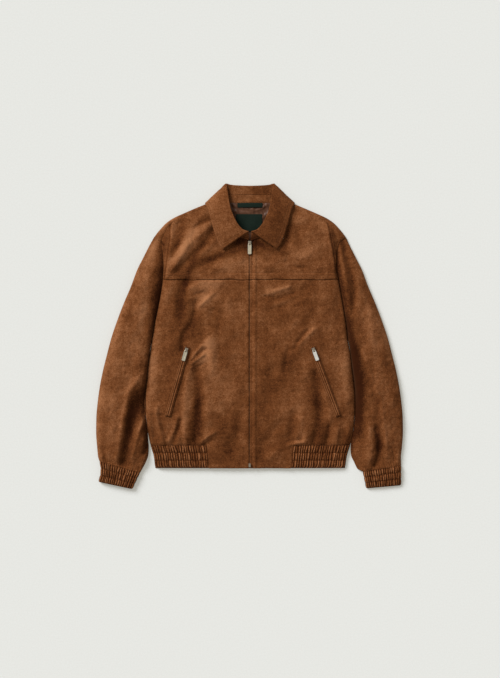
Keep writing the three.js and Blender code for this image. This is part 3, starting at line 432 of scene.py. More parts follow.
def frontHeight(side, S, L, x, y, topY, rise):
    # rounded section over the edge height, eased into the shoulder and neck line, with the folds, the
    # front edges, the puckers over the gathers and the hem's groove added
    form = frontRelief
    fromZip = np.abs(x - cut["zipX"])
    z = mix(frontDome(S, L, form["sharpness"]), topLine("frontZ", S), rise ** 3)
    sideFade = ease((1 - S) / form["side"])
    topFade = np.where(L > 0, ease((topY - y) / form["top"]), 1)
    still = pocketCalm(side, x, y) * sideFade * topFade
    foldFade = ease((fromZip - form["zipClear"]) / form["zip"]) * ease((y - cut["hemY"]) / form["hem"])
    z = z + still * foldFade * form["foldGain"] * foldRelief(bodyFolds, x, y)
    z = z + still * wear(x, y, bodyWear) * ease(fromZip / form["wear"])
    z = z + ease((topY - y) / form["edges"]) * placketRelief(x - cut["zipX"])
    z = z - form["closing"] * creaseLine(fromZip - cut["zipHalfGap"], form["closingHalf"])
    z = z + puckers(side, S, y, sideFade)
    hem = form["hemStitch"] * creaseLine(y - (cut["hemY"] + form["hemStitchUp"]), form["closingHalf"])
    hem = hem + form["hemRound"] * creaseLine(y - cut["hemY"], form["hemRoundHalf"])
    return z - hem * (S < cut["elasticFrom"])


def outwardBulge(section):
    # a seam's edge bulges out most half way up its rounded section
    return 4 * cut["bulge"] * section * (1 - section)


def frontSurface(side, shares, levels):
    # half of the body's front: places between zip and side edge, at the height of its rounded section
    S, L = np.meshgrid(shares, levels)
    x, y, topY, rise = frontPlace(side, S, L)
    height = frontHeight(side, S, L, x, y, topY, rise)
    bulge = outwardBulge(dome(S, frontRelief["sharpness"])) * ease((cut["underarmY"] + 20 - L) / 40)
    return np.stack([x + side * bulge, y, height], axis=2)


def frontAt(side, x, y):
    # height of the front panel below the yoke seam at a place
    centre = cut["zipX"] + side * cut["zipHalfGap"]
    S = np.clip((x - centre) / (bodyEdge(side, y) - centre), 0, 1)
    return frontHeight(side, S, y, x, y, topLine("frontY", S), np.zeros(np.shape(y)))


def gridNormals(grid, wrap=False):
    # cross product of the steps to the neighbours along a row and down the rows, made 1 long
    if wrap:
        across = np.roll(grid, -1, 1) - np.roll(grid, 1, 1)
    else:
        across = np.gradient(grid, axis=1)
    normal = np.cross(across, np.gradient(grid, axis=0))
    return normal / (np.linalg.norm(normal, axis=2, keepdims=True) + 1e-12)


def makeMesh(name, points, quads, uv=None, tone=None):
    mesh = bpy.data.meshes.new(name)
    mesh.vertices.add(len(points))
    mesh.vertices.foreach_set("co", np.asarray(points, np.float32).ravel())
    quads = np.asarray(quads, np.int32)
    mesh.loops.add(quads.size)
    mesh.polygons.add(len(quads))
    mesh.loops.foreach_set("vertex_index", quads.ravel())
    mesh.polygons.foreach_set("loop_start", np.arange(0, quads.size, quads.shape[1], dtype=np.int32))
    mesh.polygons.foreach_set("use_smooth", np.ones(len(quads), bool))
    mesh.update(calc_edges=True)
    if uv is not None:
        layer = mesh.uv_layers.new(name="cloth")
        layer.data.foreach_set("uv", np.asarray(uv, np.float32)[quads.ravel()].ravel())
    if tone is not None:
        mesh.attributes.new("tone", "FLOAT", "POINT").data.foreach_set("value", np.asarray(tone, np.float32))
    mesh.validate()
    piece = bpy.data.objects.new(name, mesh)
    bpy.context.scene.collection.objects.link(piece)
    return piece


def clothPiece(name, grid, thick, facing=1, wrap=False, keep=None, tone=None, bulge=0.4):
    # closed wall of cloth: the grid is its outer face, the inner face lies thick below it along the
    # normals, and a rounded rim of one middle row joins them along every open edge
    rows, columns = grid.shape[:2]
    normal = gridNormals(grid, wrap) * facing
    inner = grid - normal * thick
    index = np.arange(rows * columns).reshape(rows, columns)
    nextColumn = np.roll(index, -1, 1) if wrap else index[:, 1:]
    first = index if wrap else index[:, :-1]
    quads = np.stack([first[:-1], nextColumn[:-1], nextColumn[1:], first[1:]], axis=2)
    if keep is not None:
        quads = quads[keep]
    quads = quads.reshape(-1, 4)
    if facing < 0:
        quads = quads[:, ::-1]
    total = rows * columns
    edges = np.concatenate([quads[:, [i, (i + 1) % 4]] for i in range(4)])
    code = edges[:, 0].astype(np.int64) * total + edges[:, 1]
    back = edges[:, 1].astype(np.int64) * total + edges[:, 0]
    rim = edges[~np.isin(code, back)]
    flat, flatNormal, flatInner = grid.reshape(-1, 3), normal.reshape(-1, 3), inner.reshape(-1, 3)
    lean = np.zeros((total, 3))
    way = flat[rim[:, 1]] - flat[rim[:, 0]]
    way = np.cross(way / (np.linalg.norm(way, axis=1, keepdims=True) + 1e-12), flatNormal[rim[:, 0]])
    np.add.at(lean, rim[:, 0], way)
    np.add.at(lean, rim[:, 1], way)
    lean /= np.linalg.norm(lean, axis=1, keepdims=True) + 1e-12
    onRim = np.unique(rim)
    middle = np.full(total, -1)
    middle[onRim] = 2 * total + np.arange(len(onRim))
    middlePoints = (flat[onRim] + flatInner[onRim]) / 2 + lean[onRim] * bulge * thick
    a, b = rim[:, 0], rim[:, 1]
    faces = np.concatenate([
        quads, quads[:, ::-1] + total,
        np.stack([b, a, middle[a], middle[b]], axis=1),
        np.stack([middle[b], middle[a], a + total, b + total], axis=1),
    ])
    points = np.concatenate([flat, flatInner, middlePoints])
    used = np.unique(faces)
    renumber = np.full(len(points), -1)
    renumber[used] = np.arange(len(used))
    widths = np.linalg.norm(np.diff(grid, axis=1), axis=2)
    u = np.zeros((rows, columns))
    u[:, 1:] = np.cumsum(widths, axis=1)
    v = np.zeros((rows, columns))
    v[1:] = np.cumsum(np.linalg.norm(np.diff(grid, axis=0), axis=2), axis=0)
    flatUv = np.stack([u.ravel(), v.ravel()], axis=1) * mm
    uv = np.concatenate([flatUv, flatUv, flatUv[onRim]])
    shade = np.zeros(total) if tone is None else tone.ravel()
    shades = np.concatenate([shade, shade, shade[onRim]])
    return makeMesh(name, points[used] * mm, renumber[faces], uv[used], shades[used])


# Nap and painted light: lighter and darker places of the suede, partly the nap's own tone, partly painted
# shade and painted highlights over folds, edges and under the collar. x, y, half length, half width, turn in
# degrees, gain
napAndShadingPatches = [
    (-108, 104, 40, 14, 40, 0.20), (-135, 118, 30, 12, 15, 0.16), (-98, 75, 34, 20, 60, 0.12),
    (-95, -40, 44, 22, 80, 0.20), (-70, -130, 46, 26, -60, 0.12), (-165, 235, 60, 12, 55, 0.26),
    (-120, 215, 44, 14, 60, -0.22), (-172, 60, 70, 16, 82, -0.26), (-150, 10, 60, 14, 62, -0.18),
    (-90, 30, 34, 20, 70, -0.12), (-134, -190, 84, 14, 88, -0.34), (-160, -190, 80, 10, 88, 0.16),
    (-62, -230, 60, 20, 70, -0.12), (-236, -60, 110, 12, 85, 0.22), (128, 285, 36, 26, -40, 0.14),
    (130, 210, 50, 30, 20, 0.10), (108, 262, 34, 18, -50, -0.12), (60, 108, 54, 12, 12, 0.12),
    (75, 95, 50, 9, 8, -0.16), (148, 8, 40, 12, 55, 0.12), (98, -60, 80, 16, 70, -0.16),
    (44, -120, 70, 20, 85, -0.12), (168, -190, 80, 12, -85, -0.26), (105, -180, 44, 16, 70, 0.12),
    (218, -80, 80, 18, 88, 0.12), (190, -250, 24, 8, 80, -0.16), (20, -230, 90, 20, 85, -0.08),
    (-20, 20, 160, 16, 88, 0.06), (-26, 180, 60, 30, 0, 0.10), (30, 175, 60, 26, 0, 0.06),
    (-330, -60, 120, 26, 72, 0.12), (-295, 60, 90, 18, 65, 0.08), (-350, -200, 80, 16, 85, 0.10),
    (-300, -180, 70, 10, 75, -0.30), (-268, -230, 50, 8, 65, -0.20), (-285, -240, 60, 8, 65, 0.12),
    (300, 60, 100, 22, -66, 0.12), (330, -100, 90, 20, -78, 0.08), (275, -190, 90, 14, -85, -0.16),
    (318, -270, 44, 9, -88, -0.34), (338, -265, 40, 9, -88, 0.14), (374, -150, 150, 12, -84, -0.22),
    (245, 130, 90, 10, -82, -0.22), (-243, 150, 90, 12, 78, -0.22),
    # yokes and collar
    (-150, 240, 60, 9, 52, 0.26), (-112, 288, 25, 10, 30, -0.22), (-110, 275, 17.5, 7.5, 45, 0.1),
    (-165, 270, 35, 12.5, 75, -0.14), (-185, 280, 15, 10, 40, 0.14), (-115, 210, 20, 10, 45, 0.28),
    (-184, 225, 30, 7, 60, -0.28), (-150, 215, 30, 8, 52, 0.16), (-112, 203, 18, 7, 20, 0.2),
    (-152, 150, 46, 8, 72, -0.2), (-138, 185, 35, 10, 35, -0.1), (-68, 202, 52, 9, 20, -0.34),
    (-25, 236, 25, 8, 25, -0.3), (38, 222, 30, 7, -25, -0.3), (-95, 172, 40, 10, 8, 0.08),
    (-212, 215, 55, 5.5, 82, -0.16), (0, 232, 25, 20, 0, -0.62), (-176, 224, 26, 8, 55, -0.2),
    (-200, 252, 25, 6, 80, 0.16), (92, 240, 37.5, 6.5, 72, -0.3), (58, 300, 37.5, 15, -75, -0.12),
    (128, 200, 22, 11, 10, 0.24), (137, 270, 20, 8, 0, -0.14), (117, 300, 14, 8, 0, -0.16),
    (115, 250, 12.5, 12.5, 0, 0.08), (181, 273, 22, 12, -60, 0.2), (208, 235, 40, 5, -80, -0.16),
    (223, 205, 40, 5, -80, 0.18), (180, 240, 35, 7.5, -75, 0.08), (-8, 165, 20, 12.5, 90, 0.1),
    (-100, 352, 30, 12.5, 35, 0.08), (-54, 366, 18, 10, 90, -0.3), (70, 312, 40, 9, -75, -0.18),
    (-110, 352, 32, 7, 50, 0.34), (114, 344, 24, 7, -50, 0.34), (8, 185, 30, 6.2, 90, -0.06),
    (102, 332, 12.5, 10, 0, 0.08),
    # right front
    (-102, 132, 27.5, 10, 0, 0.28), (-112, 85, 18, 11, 40, 0.36), (-160, 122, 25, 10, 60, -0.14),
    (-205, 115, 30, 12.5, 80, 0.1), (-70, 60, 40, 22.5, -30, 0.1), (-102, -18, 14, 12.5, 90, 0.44),
    (-114, -57, 22.5, 10, 70, 0.28), (-144, -148, 46, 8.8, 88, 0.28), (-165, -105, 35, 7, 72, -0.16),
    (-100, -100, 40, 20, 85, 0.1), (-229, 88, 90, 6.5, 84, -0.22), (-96, -8, 14, 10, 60, 0.2),
    (-182, -115, 75, 9, 74, -0.14), (192, -115, 75, 9, -70, -0.12), (-185, -170, 35, 8.8, 85, -0.16),
    (-70, -170, 35, 17.5, 80, 0.1), (-32, -222, 75, 11.2, 86, -0.12), (-65, -42, 22.5, 12.5, 90, -0.12),
    (-125, 25, 40, 12.5, 80, -0.06), (-185, -22, 40, 20, 80, -0.06), (-112, -235, 30, 10, 45, 0.1),
    (-245, -85, 85, 8.8, 86, 0.12), (-225, -248, 25, 12.5, 80, -0.08), (-168, -35, 15, 10, 70, -0.1),
    (-122, -240, 22, 10, 90, -0.16), (-82, -308, 14, 8, 90, -0.18), (0, -305, 110, 22, 0, -0.08),
    # left front
    (75, 118, 35, 7.5, 14, 0.16), (125, 78, 30, 7.5, 10, -0.1), (65, 78, 20, 7.5, 10, 0.08),
    (30, -22, 30, 15, 85, -0.08), (120, 0, 35, 7.5, 45, 0.08), (85, -160, 30, 12.5, 85, 0.12),
    (125, -190, 35, 12.5, 85, 0.1), (88, -110, 30, 12.5, 85, -0.06), (45, -260, 30, 12.5, 60, 0.06),
    (65, -280, 15, 9, 0, -0.24), (238, -90, 75, 8, 90, 0.16), (170, -122, 40, 10, 85, -0.06),
    (130, -260, 22.5, 10, 90, 0.06), (105, -235, 22.5, 8.8, 85, -0.1), (240, -290, 30, 8, 88, -0.26),
    (180, -210, 30, 10, 80, 0.05),
    # sleeves
    (-262, 90, 60, 9.5, 78, 0.14), (-262, 60, 60, 9, 76, 0.2), (-290, 80, 30, 12, 70, -0.16),
    (-282, -22, 75, 10, 76, 0.1), (-238, 95, 65, 8, 80, -0.2), (-315, 2, 45, 20, 65, -0.08),
    (-313, 50, 50, 12, 70, -0.12), (-350, -90, 20, 15, 70, -0.06), (-298, -122, 30, 10, 60, 0.16),
    (-320, -222, 60, 7.5, 84, 0.14), (-282, -190, 35, 12.5, 70, -0.16), (-304, -262, 50, 11, 80, -0.28),
    (-286, -186, 40, 9, 66, -0.2), (-266, -212, 30, 7, 62, 0.28), (-255, -260, 30, 7.5, 86, -0.26),
    (-205, 289, 42, 8, 40, 0.46), (-238, 228, 45, 7.5, 65, 0.38), (-240, 185, 40, 7, 80, 0.24),
    (-285, 160, 40, 7.5, 68, 0.1), (258, -35, 100, 10.5, -82, -0.3), (265, -110, 50, 11.2, -88, -0.2),
    (245, -260, 25, 8.5, 90, -0.24), (210, 228, 65, 6.5, -78, -0.12), (225, 140, 50, 6, -78, -0.1),
    (262, 152, 25, 11.2, 60, -0.1), (305, 90, 50, 10, -68, -0.08), (350, -10, 85, 7.5, -70, 0.12),
    (292, 105, 80, 9, -67, -0.26), (340, -78, 80, 10, -76, -0.14), (370, -130, 65, 7.5, -78, 0.12),
    (332, -90, 75, 8.8, -76, -0.08), (302, -240, 20, 10, 90, 0.14), (338, -230, 30, 10, 90, -0.08),
    (-375, -260, 35, 7.5, 90, 0.08),
]

# What the tone adds up: gain of the places above (nap and painted light and shade), mottling (size, gain,
# seed) and painted shading of the folds
nap = dict(places=0.9, mottling=[(60, 0.03, 31), (30, 0.022, 32), (14, 0.02, 33)], fold=0.034, foldLimit=4.5)


def napAndShadingTone(x, y):
    # sum of soft ellipses (nap tone, painted shade and painted highlights) plus mottling of three sizes
    total = np.zeros(np.shape(x))
    for cx, cy, halfLong, halfWide, turn, gain in napAndShadingPatches:
        c, s = math.cos(math.radians(turn)), math.sin(math.radians(turn))
        u = ((x - cx) * c + (y - cy) * s) / halfLong
        v = (-(x - cx) * s + (y - cy) * c) / halfWide
        total = total + gain * np.exp(-(u * u + v * v))
    return nap["places"] * total + wear(x, y, nap["mottling"])


def foldShading(folds, x, y):
    # painted shading of the folds: ridges painted lighter as highlight, troughs painted darker as shade
    return nap["fold"] * np.clip(foldRelief(folds, x, y), -nap["foldLimit"], nap["foldLimit"])


def finishPiece(piece, material, body="jacket", nodes=()):
    piece.data.materials.clear()
    piece.data.materials.append(material)
    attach(piece, body)
    if nodes:
        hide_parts(*nodes)
    return piece


def sew(name, grid, thick, material, slotName, nodes, **wall):
    # a wall of cloth made from its outer face, dressed and put in its body
    return finishPiece(clothPiece(name, grid, thick, **wall), material, nodes=nodes)


# Materials
def newGroup(name, inputs, outputs):
    group = bpy.data.node_groups.new(name, "ShaderNodeTree")
    for label, value in inputs:
        socket = group.interface.new_socket(label, in_out="INPUT", socket_type="NodeSocketFloat")
        socket.default_value = value
    for label in outputs:
        group.interface.new_socket(label, in_out="OUTPUT", socket_type="NodeSocketFloat")
    return group, group.nodes.new("NodeGroupInput"), group.nodes.new("NodeGroupOutput")


def addNode(tree, kind, settings=None, **values):
    node = tree.nodes.new(kind)
    for key, value in (settings or {}).items():
        setattr(node, key, value)
    for key, value in values.items():
        node.inputs[key.replace("_", " ")].default_value = value
    return node


def addMath(tree, operation, *inputs):
    # a math node fed by sockets or plain numbers
    node = addNode(tree, "ShaderNodeMath", {"operation": operation})
    for place, value in zip(node.inputs, inputs):
        if isinstance(value, (int, float)):
            place.default_value = value
        else:
            tree.links.new(value, place)
    return node.outputs[0]


def newMaterial(name, **values):
    # a material whose shader has the given plain values
    material = bpy.data.materials.new(name)
    material.use_nodes = True
    tree = material.node_tree
    shader = tree.nodes["Principled BSDF"]
    for key, value in values.items():
        shader.inputs[key.replace("_", " ")].default_value = value
    return material, tree, shader


def buildNapGroup():
    # brushed nap: mottled tone from noises of four sizes, spread about one half, and the pile's height
    group, start, end = newGroup(
        "brushedNap", [("Blotch Scale", 34.0), ("Pile Scale", 560.0), ("Contrast", 1.0)], ["Tone", "Height"])
    place = addNode(group, "ShaderNodeTexCoord")
    blotch = addNode(group, "ShaderNodeTexNoise", Detail=3.0, Roughness=0.6, Distortion=0.4)
    patch = addNode(group, "ShaderNodeTexNoise", Scale=110.0, Detail=2.0, Roughness=0.6)
    streak = addNode(group, "ShaderNodeTexNoise", Scale=300.0, Detail=2.0, Roughness=0.6)
    pile = addNode(group, "ShaderNodeTexNoise", Detail=3.0, Roughness=0.75)
    group.links.new(start.outputs["Blotch Scale"], blotch.inputs["Scale"])
    group.links.new(start.outputs["Pile Scale"], pile.inputs["Scale"])
    total = 0.0
    for noise, share in ((blotch, 0.26), (patch, 0.28), (streak, 0.46), (pile, 1.30)):
        group.links.new(place.outputs["Object"], noise.inputs["Vector"])
        about = addMath(group, "SUBTRACT", noise.outputs["Fac"], 0.5)
        total = addMath(group, "MULTIPLY_ADD", about, share, total)
    tone = addMath(group, "MULTIPLY_ADD", total, start.outputs["Contrast"], 0.5)
    height = addMath(group, "MULTIPLY_ADD", streak.outputs["Fac"], 0.8, pile.outputs["Fac"])
    group.links.new(tone, end.inputs["Tone"])
    group.links.new(height, end.inputs["Height"])
    return group


napGroup = buildNapGroup()

suedeLook = dict(
    dark=(0.029, 0.0066, 0.0012, 1), middle=(0.127, 0.0405, 0.0110, 1), light=(0.312, 0.1320, 0.0560, 1),
    darkAt=0.08, middleAt=0.5, lightAt=1.0, gatheredShade=0.16, bump=0.75, bumpDepth=0.0008,
    roughness=0.95, sheen=0.08, sheenRoughness=0.5, sheenTint=(0.8, 0.45, 0.22, 1), specular=0.06,
    nap={"Blotch Scale": 34.0, "Pile Scale": 560.0, "Contrast": 1.0},
)


def suedeMaterial(name, darker=0.0):
    # tone attribute (nap tone with painted light and shade) plus brushed nap picks a colour between dark,
    # middle and light suede
    material, tree, shader = newMaterial(
        name, Roughness=suedeLook["roughness"], Sheen_Weight=suedeLook["sheen"],
        Sheen_Roughness=suedeLook["sheenRoughness"], Sheen_Tint=suedeLook["sheenTint"],
        Specular_IOR_Level=suedeLook["specular"])
    napNode = tree.nodes.new("ShaderNodeGroup")
    napNode.node_tree = napGroup
    for label, value in suedeLook["nap"].items():
        napNode.inputs[label].default_value = value
    tone = addNode(tree, "ShaderNodeAttribute", {"attribute_name": "tone", "attribute_type": "GEOMETRY"})
    ramp = addNode(tree, "ShaderNodeValToRGB")
    first, last = ramp.color_ramp.elements
    first.position = suedeLook["darkAt"] + darker
    first.color = suedeLook["dark"]
    last.position = suedeLook["lightAt"] + darker
    last.color = suedeLook["light"]
    ramp.color_ramp.elements.new(suedeLook["middleAt"] + darker).color = suedeLook["middle"]
    tree.links.new(addMath(tree, "ADD", tone.outputs["Fac"], napNode.outputs["Tone"]), ramp.inputs["Fac"])
    tree.links.new(ramp.outputs["Color"], shader.inputs["Base Color"])
    bump = addNode(tree, "ShaderNodeBump", Strength=suedeLook["bump"], Distance=suedeLook["bumpDepth"])
    tree.links.new(napNode.outputs["Height"], bump.inputs["Height"])
    tree.links.new(bump.outputs["Normal"], shader.inputs["Normal"])
    return material


def variedColor(tree, noise, color, spread, reach):
    # from a darker to a lighter value of one colour, as the noise goes from below to above its middle
    ramp = addNode(tree, "ShaderNodeValToRGB")
    for element, way in zip(ramp.color_ramp.elements, (-1, 1)):
        element.position = 0.5 + way * reach
        element.color = (*[channel * (1 + way * spread) for channel in color], 1)
    tree.links.new(noise.outputs["Fac"], ramp.inputs["Fac"])
    return ramp.outputs["Color"]


def plainMaterial(name, color, roughness, metallic=0.0, grain=400.0, spread=0.25, depth=0.0002, specular=0.1):
    # one colour varied by a noise, with a fine bump from the same noise
    material, tree, shader = newMaterial(
        name, Roughness=roughness, Metallic=metallic, Specular_IOR_Level=specular)
    place = addNode(tree, "ShaderNodeTexCoord")
    noise = addNode(tree, "ShaderNodeTexNoise", Scale=grain, Detail=4.0, Roughness=0.65)
    bump = addNode(tree, "ShaderNodeBump", Strength=0.6, Distance=depth)
    tree.links.new(place.outputs["Object"], noise.inputs["Vector"])
    tree.links.new(variedColor(tree, noise, color, spread, 0.2), shader.inputs["Base Color"])
    tree.links.new(noise.outputs["Fac"], bump.inputs["Height"])
    tree.links.new(bump.outputs["Normal"], shader.inputs["Normal"])
    return material


def metalMaterial(name, color, spread=0.10, roughness=0.42, metallic=0.8):
    return plainMaterial(name, color, roughness, metallic, 260.0, spread, 0.00005, 0.5)


suede = suedeMaterial("brushedSuede")
# a darker copy of the suede for the gathered bands and cuffs: painted shade of the dense gathers
shadedGatheredSuede = suedeMaterial("gatheredSuedeInShade", suedeLook["gatheredShade"])
satin = plainMaterial("liningSatin", (0.082, 0.0300, 0.0120), 0.5, grain=220.0, spread=0.2, specular=0.3)
greenCloth = plainMaterial("greenTape", (0.0075, 0.0145, 0.01), 0.85, grain=900.0, spread=0.4, specular=0.08)
zipTape = plainMaterial("zipTape", (0.020, 0.009, 0.004), 0.85, grain=900.0)
zipTeeth = plainMaterial("zipTeeth", (0.110, 0.055, 0.026), 0.5, grain=700.0, specular=0.4)
threadLook = plainMaterial("suedeThread", (0.175, 0.070, 0.027), 0.8, grain=1500.0)
zipMetal = metalMaterial("lightNickel", (0.90, 0.88, 0.80))
warmMetal = metalMaterial("warmNickel", (0.56, 0.50, 0.37), spread=0.12)
# darker nickel for the sliders and the zip's box
sliderMetal = metalMaterial("darkNickel", (0.34, 0.29, 0.22), spread=0.2, roughness=0.38, metallic=0.9)
print("materials ready")

# Fronts: panel below the yoke seam, yoke above it; rows and columns of each, lap and seams between them
fronts = dict(
    columns=108, rowsBelow=200, rowsHem=24, rowsYoke=92, lap=3.0, lapDrop=1.9, lapWide=5.0, yokeRaise=1.2,
    yokeRaiseTo=14.0, yokeRaiseFade=4.0, yokeStitches=(8.5, 15.5), stitchDepth=0.7, stitchHalf=0.9,
    seamDepth=1.5, seamShade=0.32, seamWave=0.6, seamWaveHalf=7.0, sharpness=5, half=240, height=20,
)


def makePanel(side, name, shares, elasticColumn):
    # the panel dips under the yoke's lapped edge and leaves room for the gathered stretch of the band
    upper = np.linspace(cut["yokeSeamY"] + fronts["lap"], cut["bandTopY"], fronts["rowsBelow"])
    lower = np.linspace(cut["bandTopY"], cut["hemY"], fronts["rowsHem"])[1:]
    levels = np.concatenate([upper, lower])
    grid = frontSurface(side, shares, levels)
    x, y = grid[..., 0], grid[..., 1]
    grid[..., 2] -= fronts["lapDrop"] * ease((y - cut["yokeSeamY"] + fronts["lapWide"]) / fronts["lapWide"])
    keep = np.ones((len(levels) - 1, len(shares) - 1), bool)
    keep[len(upper) - 1:, elasticColumn:] = False
    sew(f"frontPanel{name}", grid, cut["cloth"], suede, "suede", [f"front_panel_{name.lower()}"],
        facing=-side, keep=keep, tone=napAndShadingTone(x, y) + foldShading(bodyFolds, x, y))


def makeYoke(side, name, shares):
    # the yoke's lower edge stands up over the panel, waved a little, with two stitch grooves above it
    levels = np.linspace(cut["capY"], cut["yokeSeamY"] + 0.01, fronts["rowsYoke"])
    grid = frontSurface(side, shares, levels)
    x, y = grid[..., 0], grid[..., 1]
    fromSeam = y - cut["yokeSeamY"]
    grid[..., 2] += fronts["yokeRaise"] * ease((fronts["yokeRaiseTo"] - fromSeam) / fronts["yokeRaiseFade"])
    for stitchAt in fronts["yokeStitches"]:
        grid[..., 2] -= fronts["stitchDepth"] * creaseLine(fromSeam - stitchAt, fronts["stitchHalf"])
    wave = fronts["seamWave"] * creaseLine(fromSeam, fronts["seamWaveHalf"]) * ripple(x, 0 * y, 40, 95)
    grid[..., 1] += wave
    seams = foldRelief(shoulderSeams, x, y)
    grid[..., 2] -= fronts["seamDepth"] * seams
    # painted shade along the grooves of the shoulder seams
    tone = napAndShadingTone(x, y) + foldShading(bodyFolds, x, y) - fronts["seamShade"] * seams
    sew(f"frontYoke{name}", grid, cut["cloth"], suede, "suede", [f"front_yoke_{name.lower()}"],
        facing=-side, tone=tone)
    return grid


def makeFronts():
    shares = evenShares(fronts["columns"], fronts["sharpness"], fronts["half"], fronts["height"])
    elasticColumn = int(np.argmin(np.abs(shares - cut["elasticFrom"])))
    shares[elasticColumn] = cut["elasticFrom"]
    yokes = {}
    for side, name in sides:
        makePanel(side, name, shares, elasticColumn)
        yokes[side] = makeYoke(side, name, shares)
    return yokes


# Gathered bands: gains of the painted highlight on crests and the painted shade at the rows' stitch lines
# about their middles, cells, and the share of the nap's tone
bands = dict(
    crestHighlight=0.78, crestMiddle=0.56, rowShade=0.16, rowMiddle=0.8, napShare=0.5, columns=240, rows=55,
    crowding=1.25, sharpness=5, cloth=1.1, backRows=30, backRibs=70, backCloth=1.2, backDepth=0.9,
    backSeed=88, backRibShade=0.2, backMiddle=0.8, sideRoom=0.03, startRoom=0.012,
)


def gatherShading(puffed, rib):
    # painted shading of the ribs: crests painted lighter as highlight, the cloth between them and the
    # stitched lines painted darker as shade
    crests = bands["crestHighlight"] * (rib - bands["crestMiddle"])
    return crests + bands["rowShade"] * (puffed - bands["rowMiddle"])


def makeHemElastics():
    # the fronts' own rounded section with rows of ribs on it, plain at both ends
    for side, name in sides:
        across = 1 - (1 - np.linspace(0, 1, bands["columns"])) ** bands["crowding"]
        shares = mix(cut["elasticFrom"] + 0.002, 1, across)
        levels = np.linspace(cut["bandTopY"] - cut["bandGap"], cut["hemY"], bands["rows"])
        grid = frontSurface(side, shares, levels)
        S, L = np.meshgrid(shares, levels)
        down = (cut["bandTopY"] - L) / (cut["bandTopY"] - cut["hemY"])
        puffed, rib = gatherRelief(inElastic(S), down, gather["ribs"], gather["seed"] + side)
        room = ease((1 - S) / bands["sideRoom"]) * ease(inElastic(S) / bands["startRoom"])
        ribs = gatherHeight(puffed, rib, gather["puff"], gather["ribDepth"])
        grid[..., 2] = frontDome(S, L, bands["sharpness"]) + room * ribs
        tone = napAndShadingTone(grid[..., 0], grid[..., 1]) * bands["napShare"] + gatherShading(puffed, rib)
        sew(f"hemElastic{name}", grid, bands["cloth"], shadedGatheredSuede, "suede_gathered",
            [f"hem_elastic_{name.lower()}"], facing=-side, tone=tone)


yokeGrids = makeFronts()
makeHemElastics()
print("fronts and hem ready")

# Back: flat on the surface, lifted over the collar's fall, turned forward over the shoulders
back = dict(
    columns=96, rows=90, rowsTop=40, wrapRows=12, neckShare=0.345, neckFade=0.008, lift=3.4, liftFrom=215,
    liftOver=60, liftHalf=165, liftFade=40, toneShare=0.7, wear=[(40, 0.5, 71), (18, 0.3, 72)], wearTone=0.01,
)


def neckLift(x, y):
    # rises smoothly towards the neck, and falls off smoothly to both sides
    return back["lift"] * ease((y - back["liftFrom"]) / back["liftOver"]) * ease(
        (back["liftHalf"] - np.abs(x)) / back["liftFade"])


def makeBack():
    # a flat sheet up to the back neck, and half an ellipse over each shoulder to the forward seam
    half = np.linspace(-1, 1, 2 * back["columns"] + 1)
    side = np.where(half < 0, -1, 1)
    share = np.abs(half)
    levels = np.concatenate([
        np.linspace(cut["bandTopY"], cut["yokeSeamY"], back["rows"]),
        np.linspace(cut["yokeSeamY"], cut["capY"], back["rowsTop"])[1:],
    ])
    S, L = np.meshgrid(share, levels)
    rise = np.clip((L - cut["yokeSeamY"]) / (cut["capY"] - cut["yokeSeamY"]), 0, 1)
    neckward = ease((back["neckShare"] + back["neckFade"] / 2 - S) / back["neckFade"])
    topY = mix(topLine("frontY", S), topLine("backY", S), neckward)
    x = side * np.where(side < 0, halfWidth(-1, L), halfWidth(1, L)) * S
    y = np.where(L <= cut["yokeSeamY"], L, mix(cut["yokeSeamY"], topY, rise))
    flat = np.stack([x, y, neckLift(x, y) + cut["ground"]], axis=2)
    angle = np.linspace(0, pi, back["wrapRows"] + 1)[1:, None]
    start = flat[-1]
    reach = (1 - neckward[-1]) * np.sin(angle)
    wrap = np.stack([
        start[:, 0] + (side * topLine("backX", share) - start[:, 0]) * reach,
        start[:, 1] + (topLine("backY", share) - start[:, 1]) * reach,
        mix(start[:, 2], topLine("frontZ", share), (1 - np.cos(angle)) / 2),
    ], axis=2)
    grid = np.concatenate([flat, wrap])
    x, y = grid[..., 0], grid[..., 1]
    keep = np.ones((grid.shape[0] - 1, grid.shape[1] - 1), bool)
    inNeck = (share[:-1] < back["neckShare"]) | (share[1:] < back["neckShare"])
    keep[len(levels) - 1:, inNeck] = False
    # the turned part over the shoulders shares the fronts' nap, the underside has its own
    tone = back["toneShare"] * napAndShadingTone(-x, y) + back["wearTone"] * (wear(x, y, back["wear"]) + 0.8)
    turned = len(levels) + back["wrapRows"] // 3
    tone[turned:] = napAndShadingTone(x[turned:], y[turned:])
    sew("backPanel", grid, cut["cloth"], suede, "suede", ["back_panel"], facing=-1, keep=keep, tone=tone)


def makeHemBack():
    # a flat band across both halves, dented between its ribs
    levels = np.linspace(cut["bandTopY"] - cut["bandGap"], cut["hemY"], bands["backRows"])
    H, L = np.meshgrid(np.linspace(-1, 1, bands["columns"]), levels)
    edge = np.where(H < 0, halfWidth(-1, L), halfWidth(1, L))
    down = (cut["bandTopY"] - L) / (cut["bandTopY"] - cut["hemY"])
    puffed, rib = gatherRelief((H + 1) / 2, down, bands["backRibs"], bands["backSeed"])
    grid = np.stack([H * edge, L, cut["ground"] + bands["backDepth"] * (1 - rib * puffed)], axis=2)
    # painted shade between the ribs, painted highlight on them
    sew("hemElasticBack", grid, bands["backCloth"], shadedGatheredSuede, "suede_gathered", ["hem_elastic_back"],
        tone=bands["backRibShade"] * (rib - bands["backMiddle"]))


makeBack()
makeHemBack()
print("back ready")

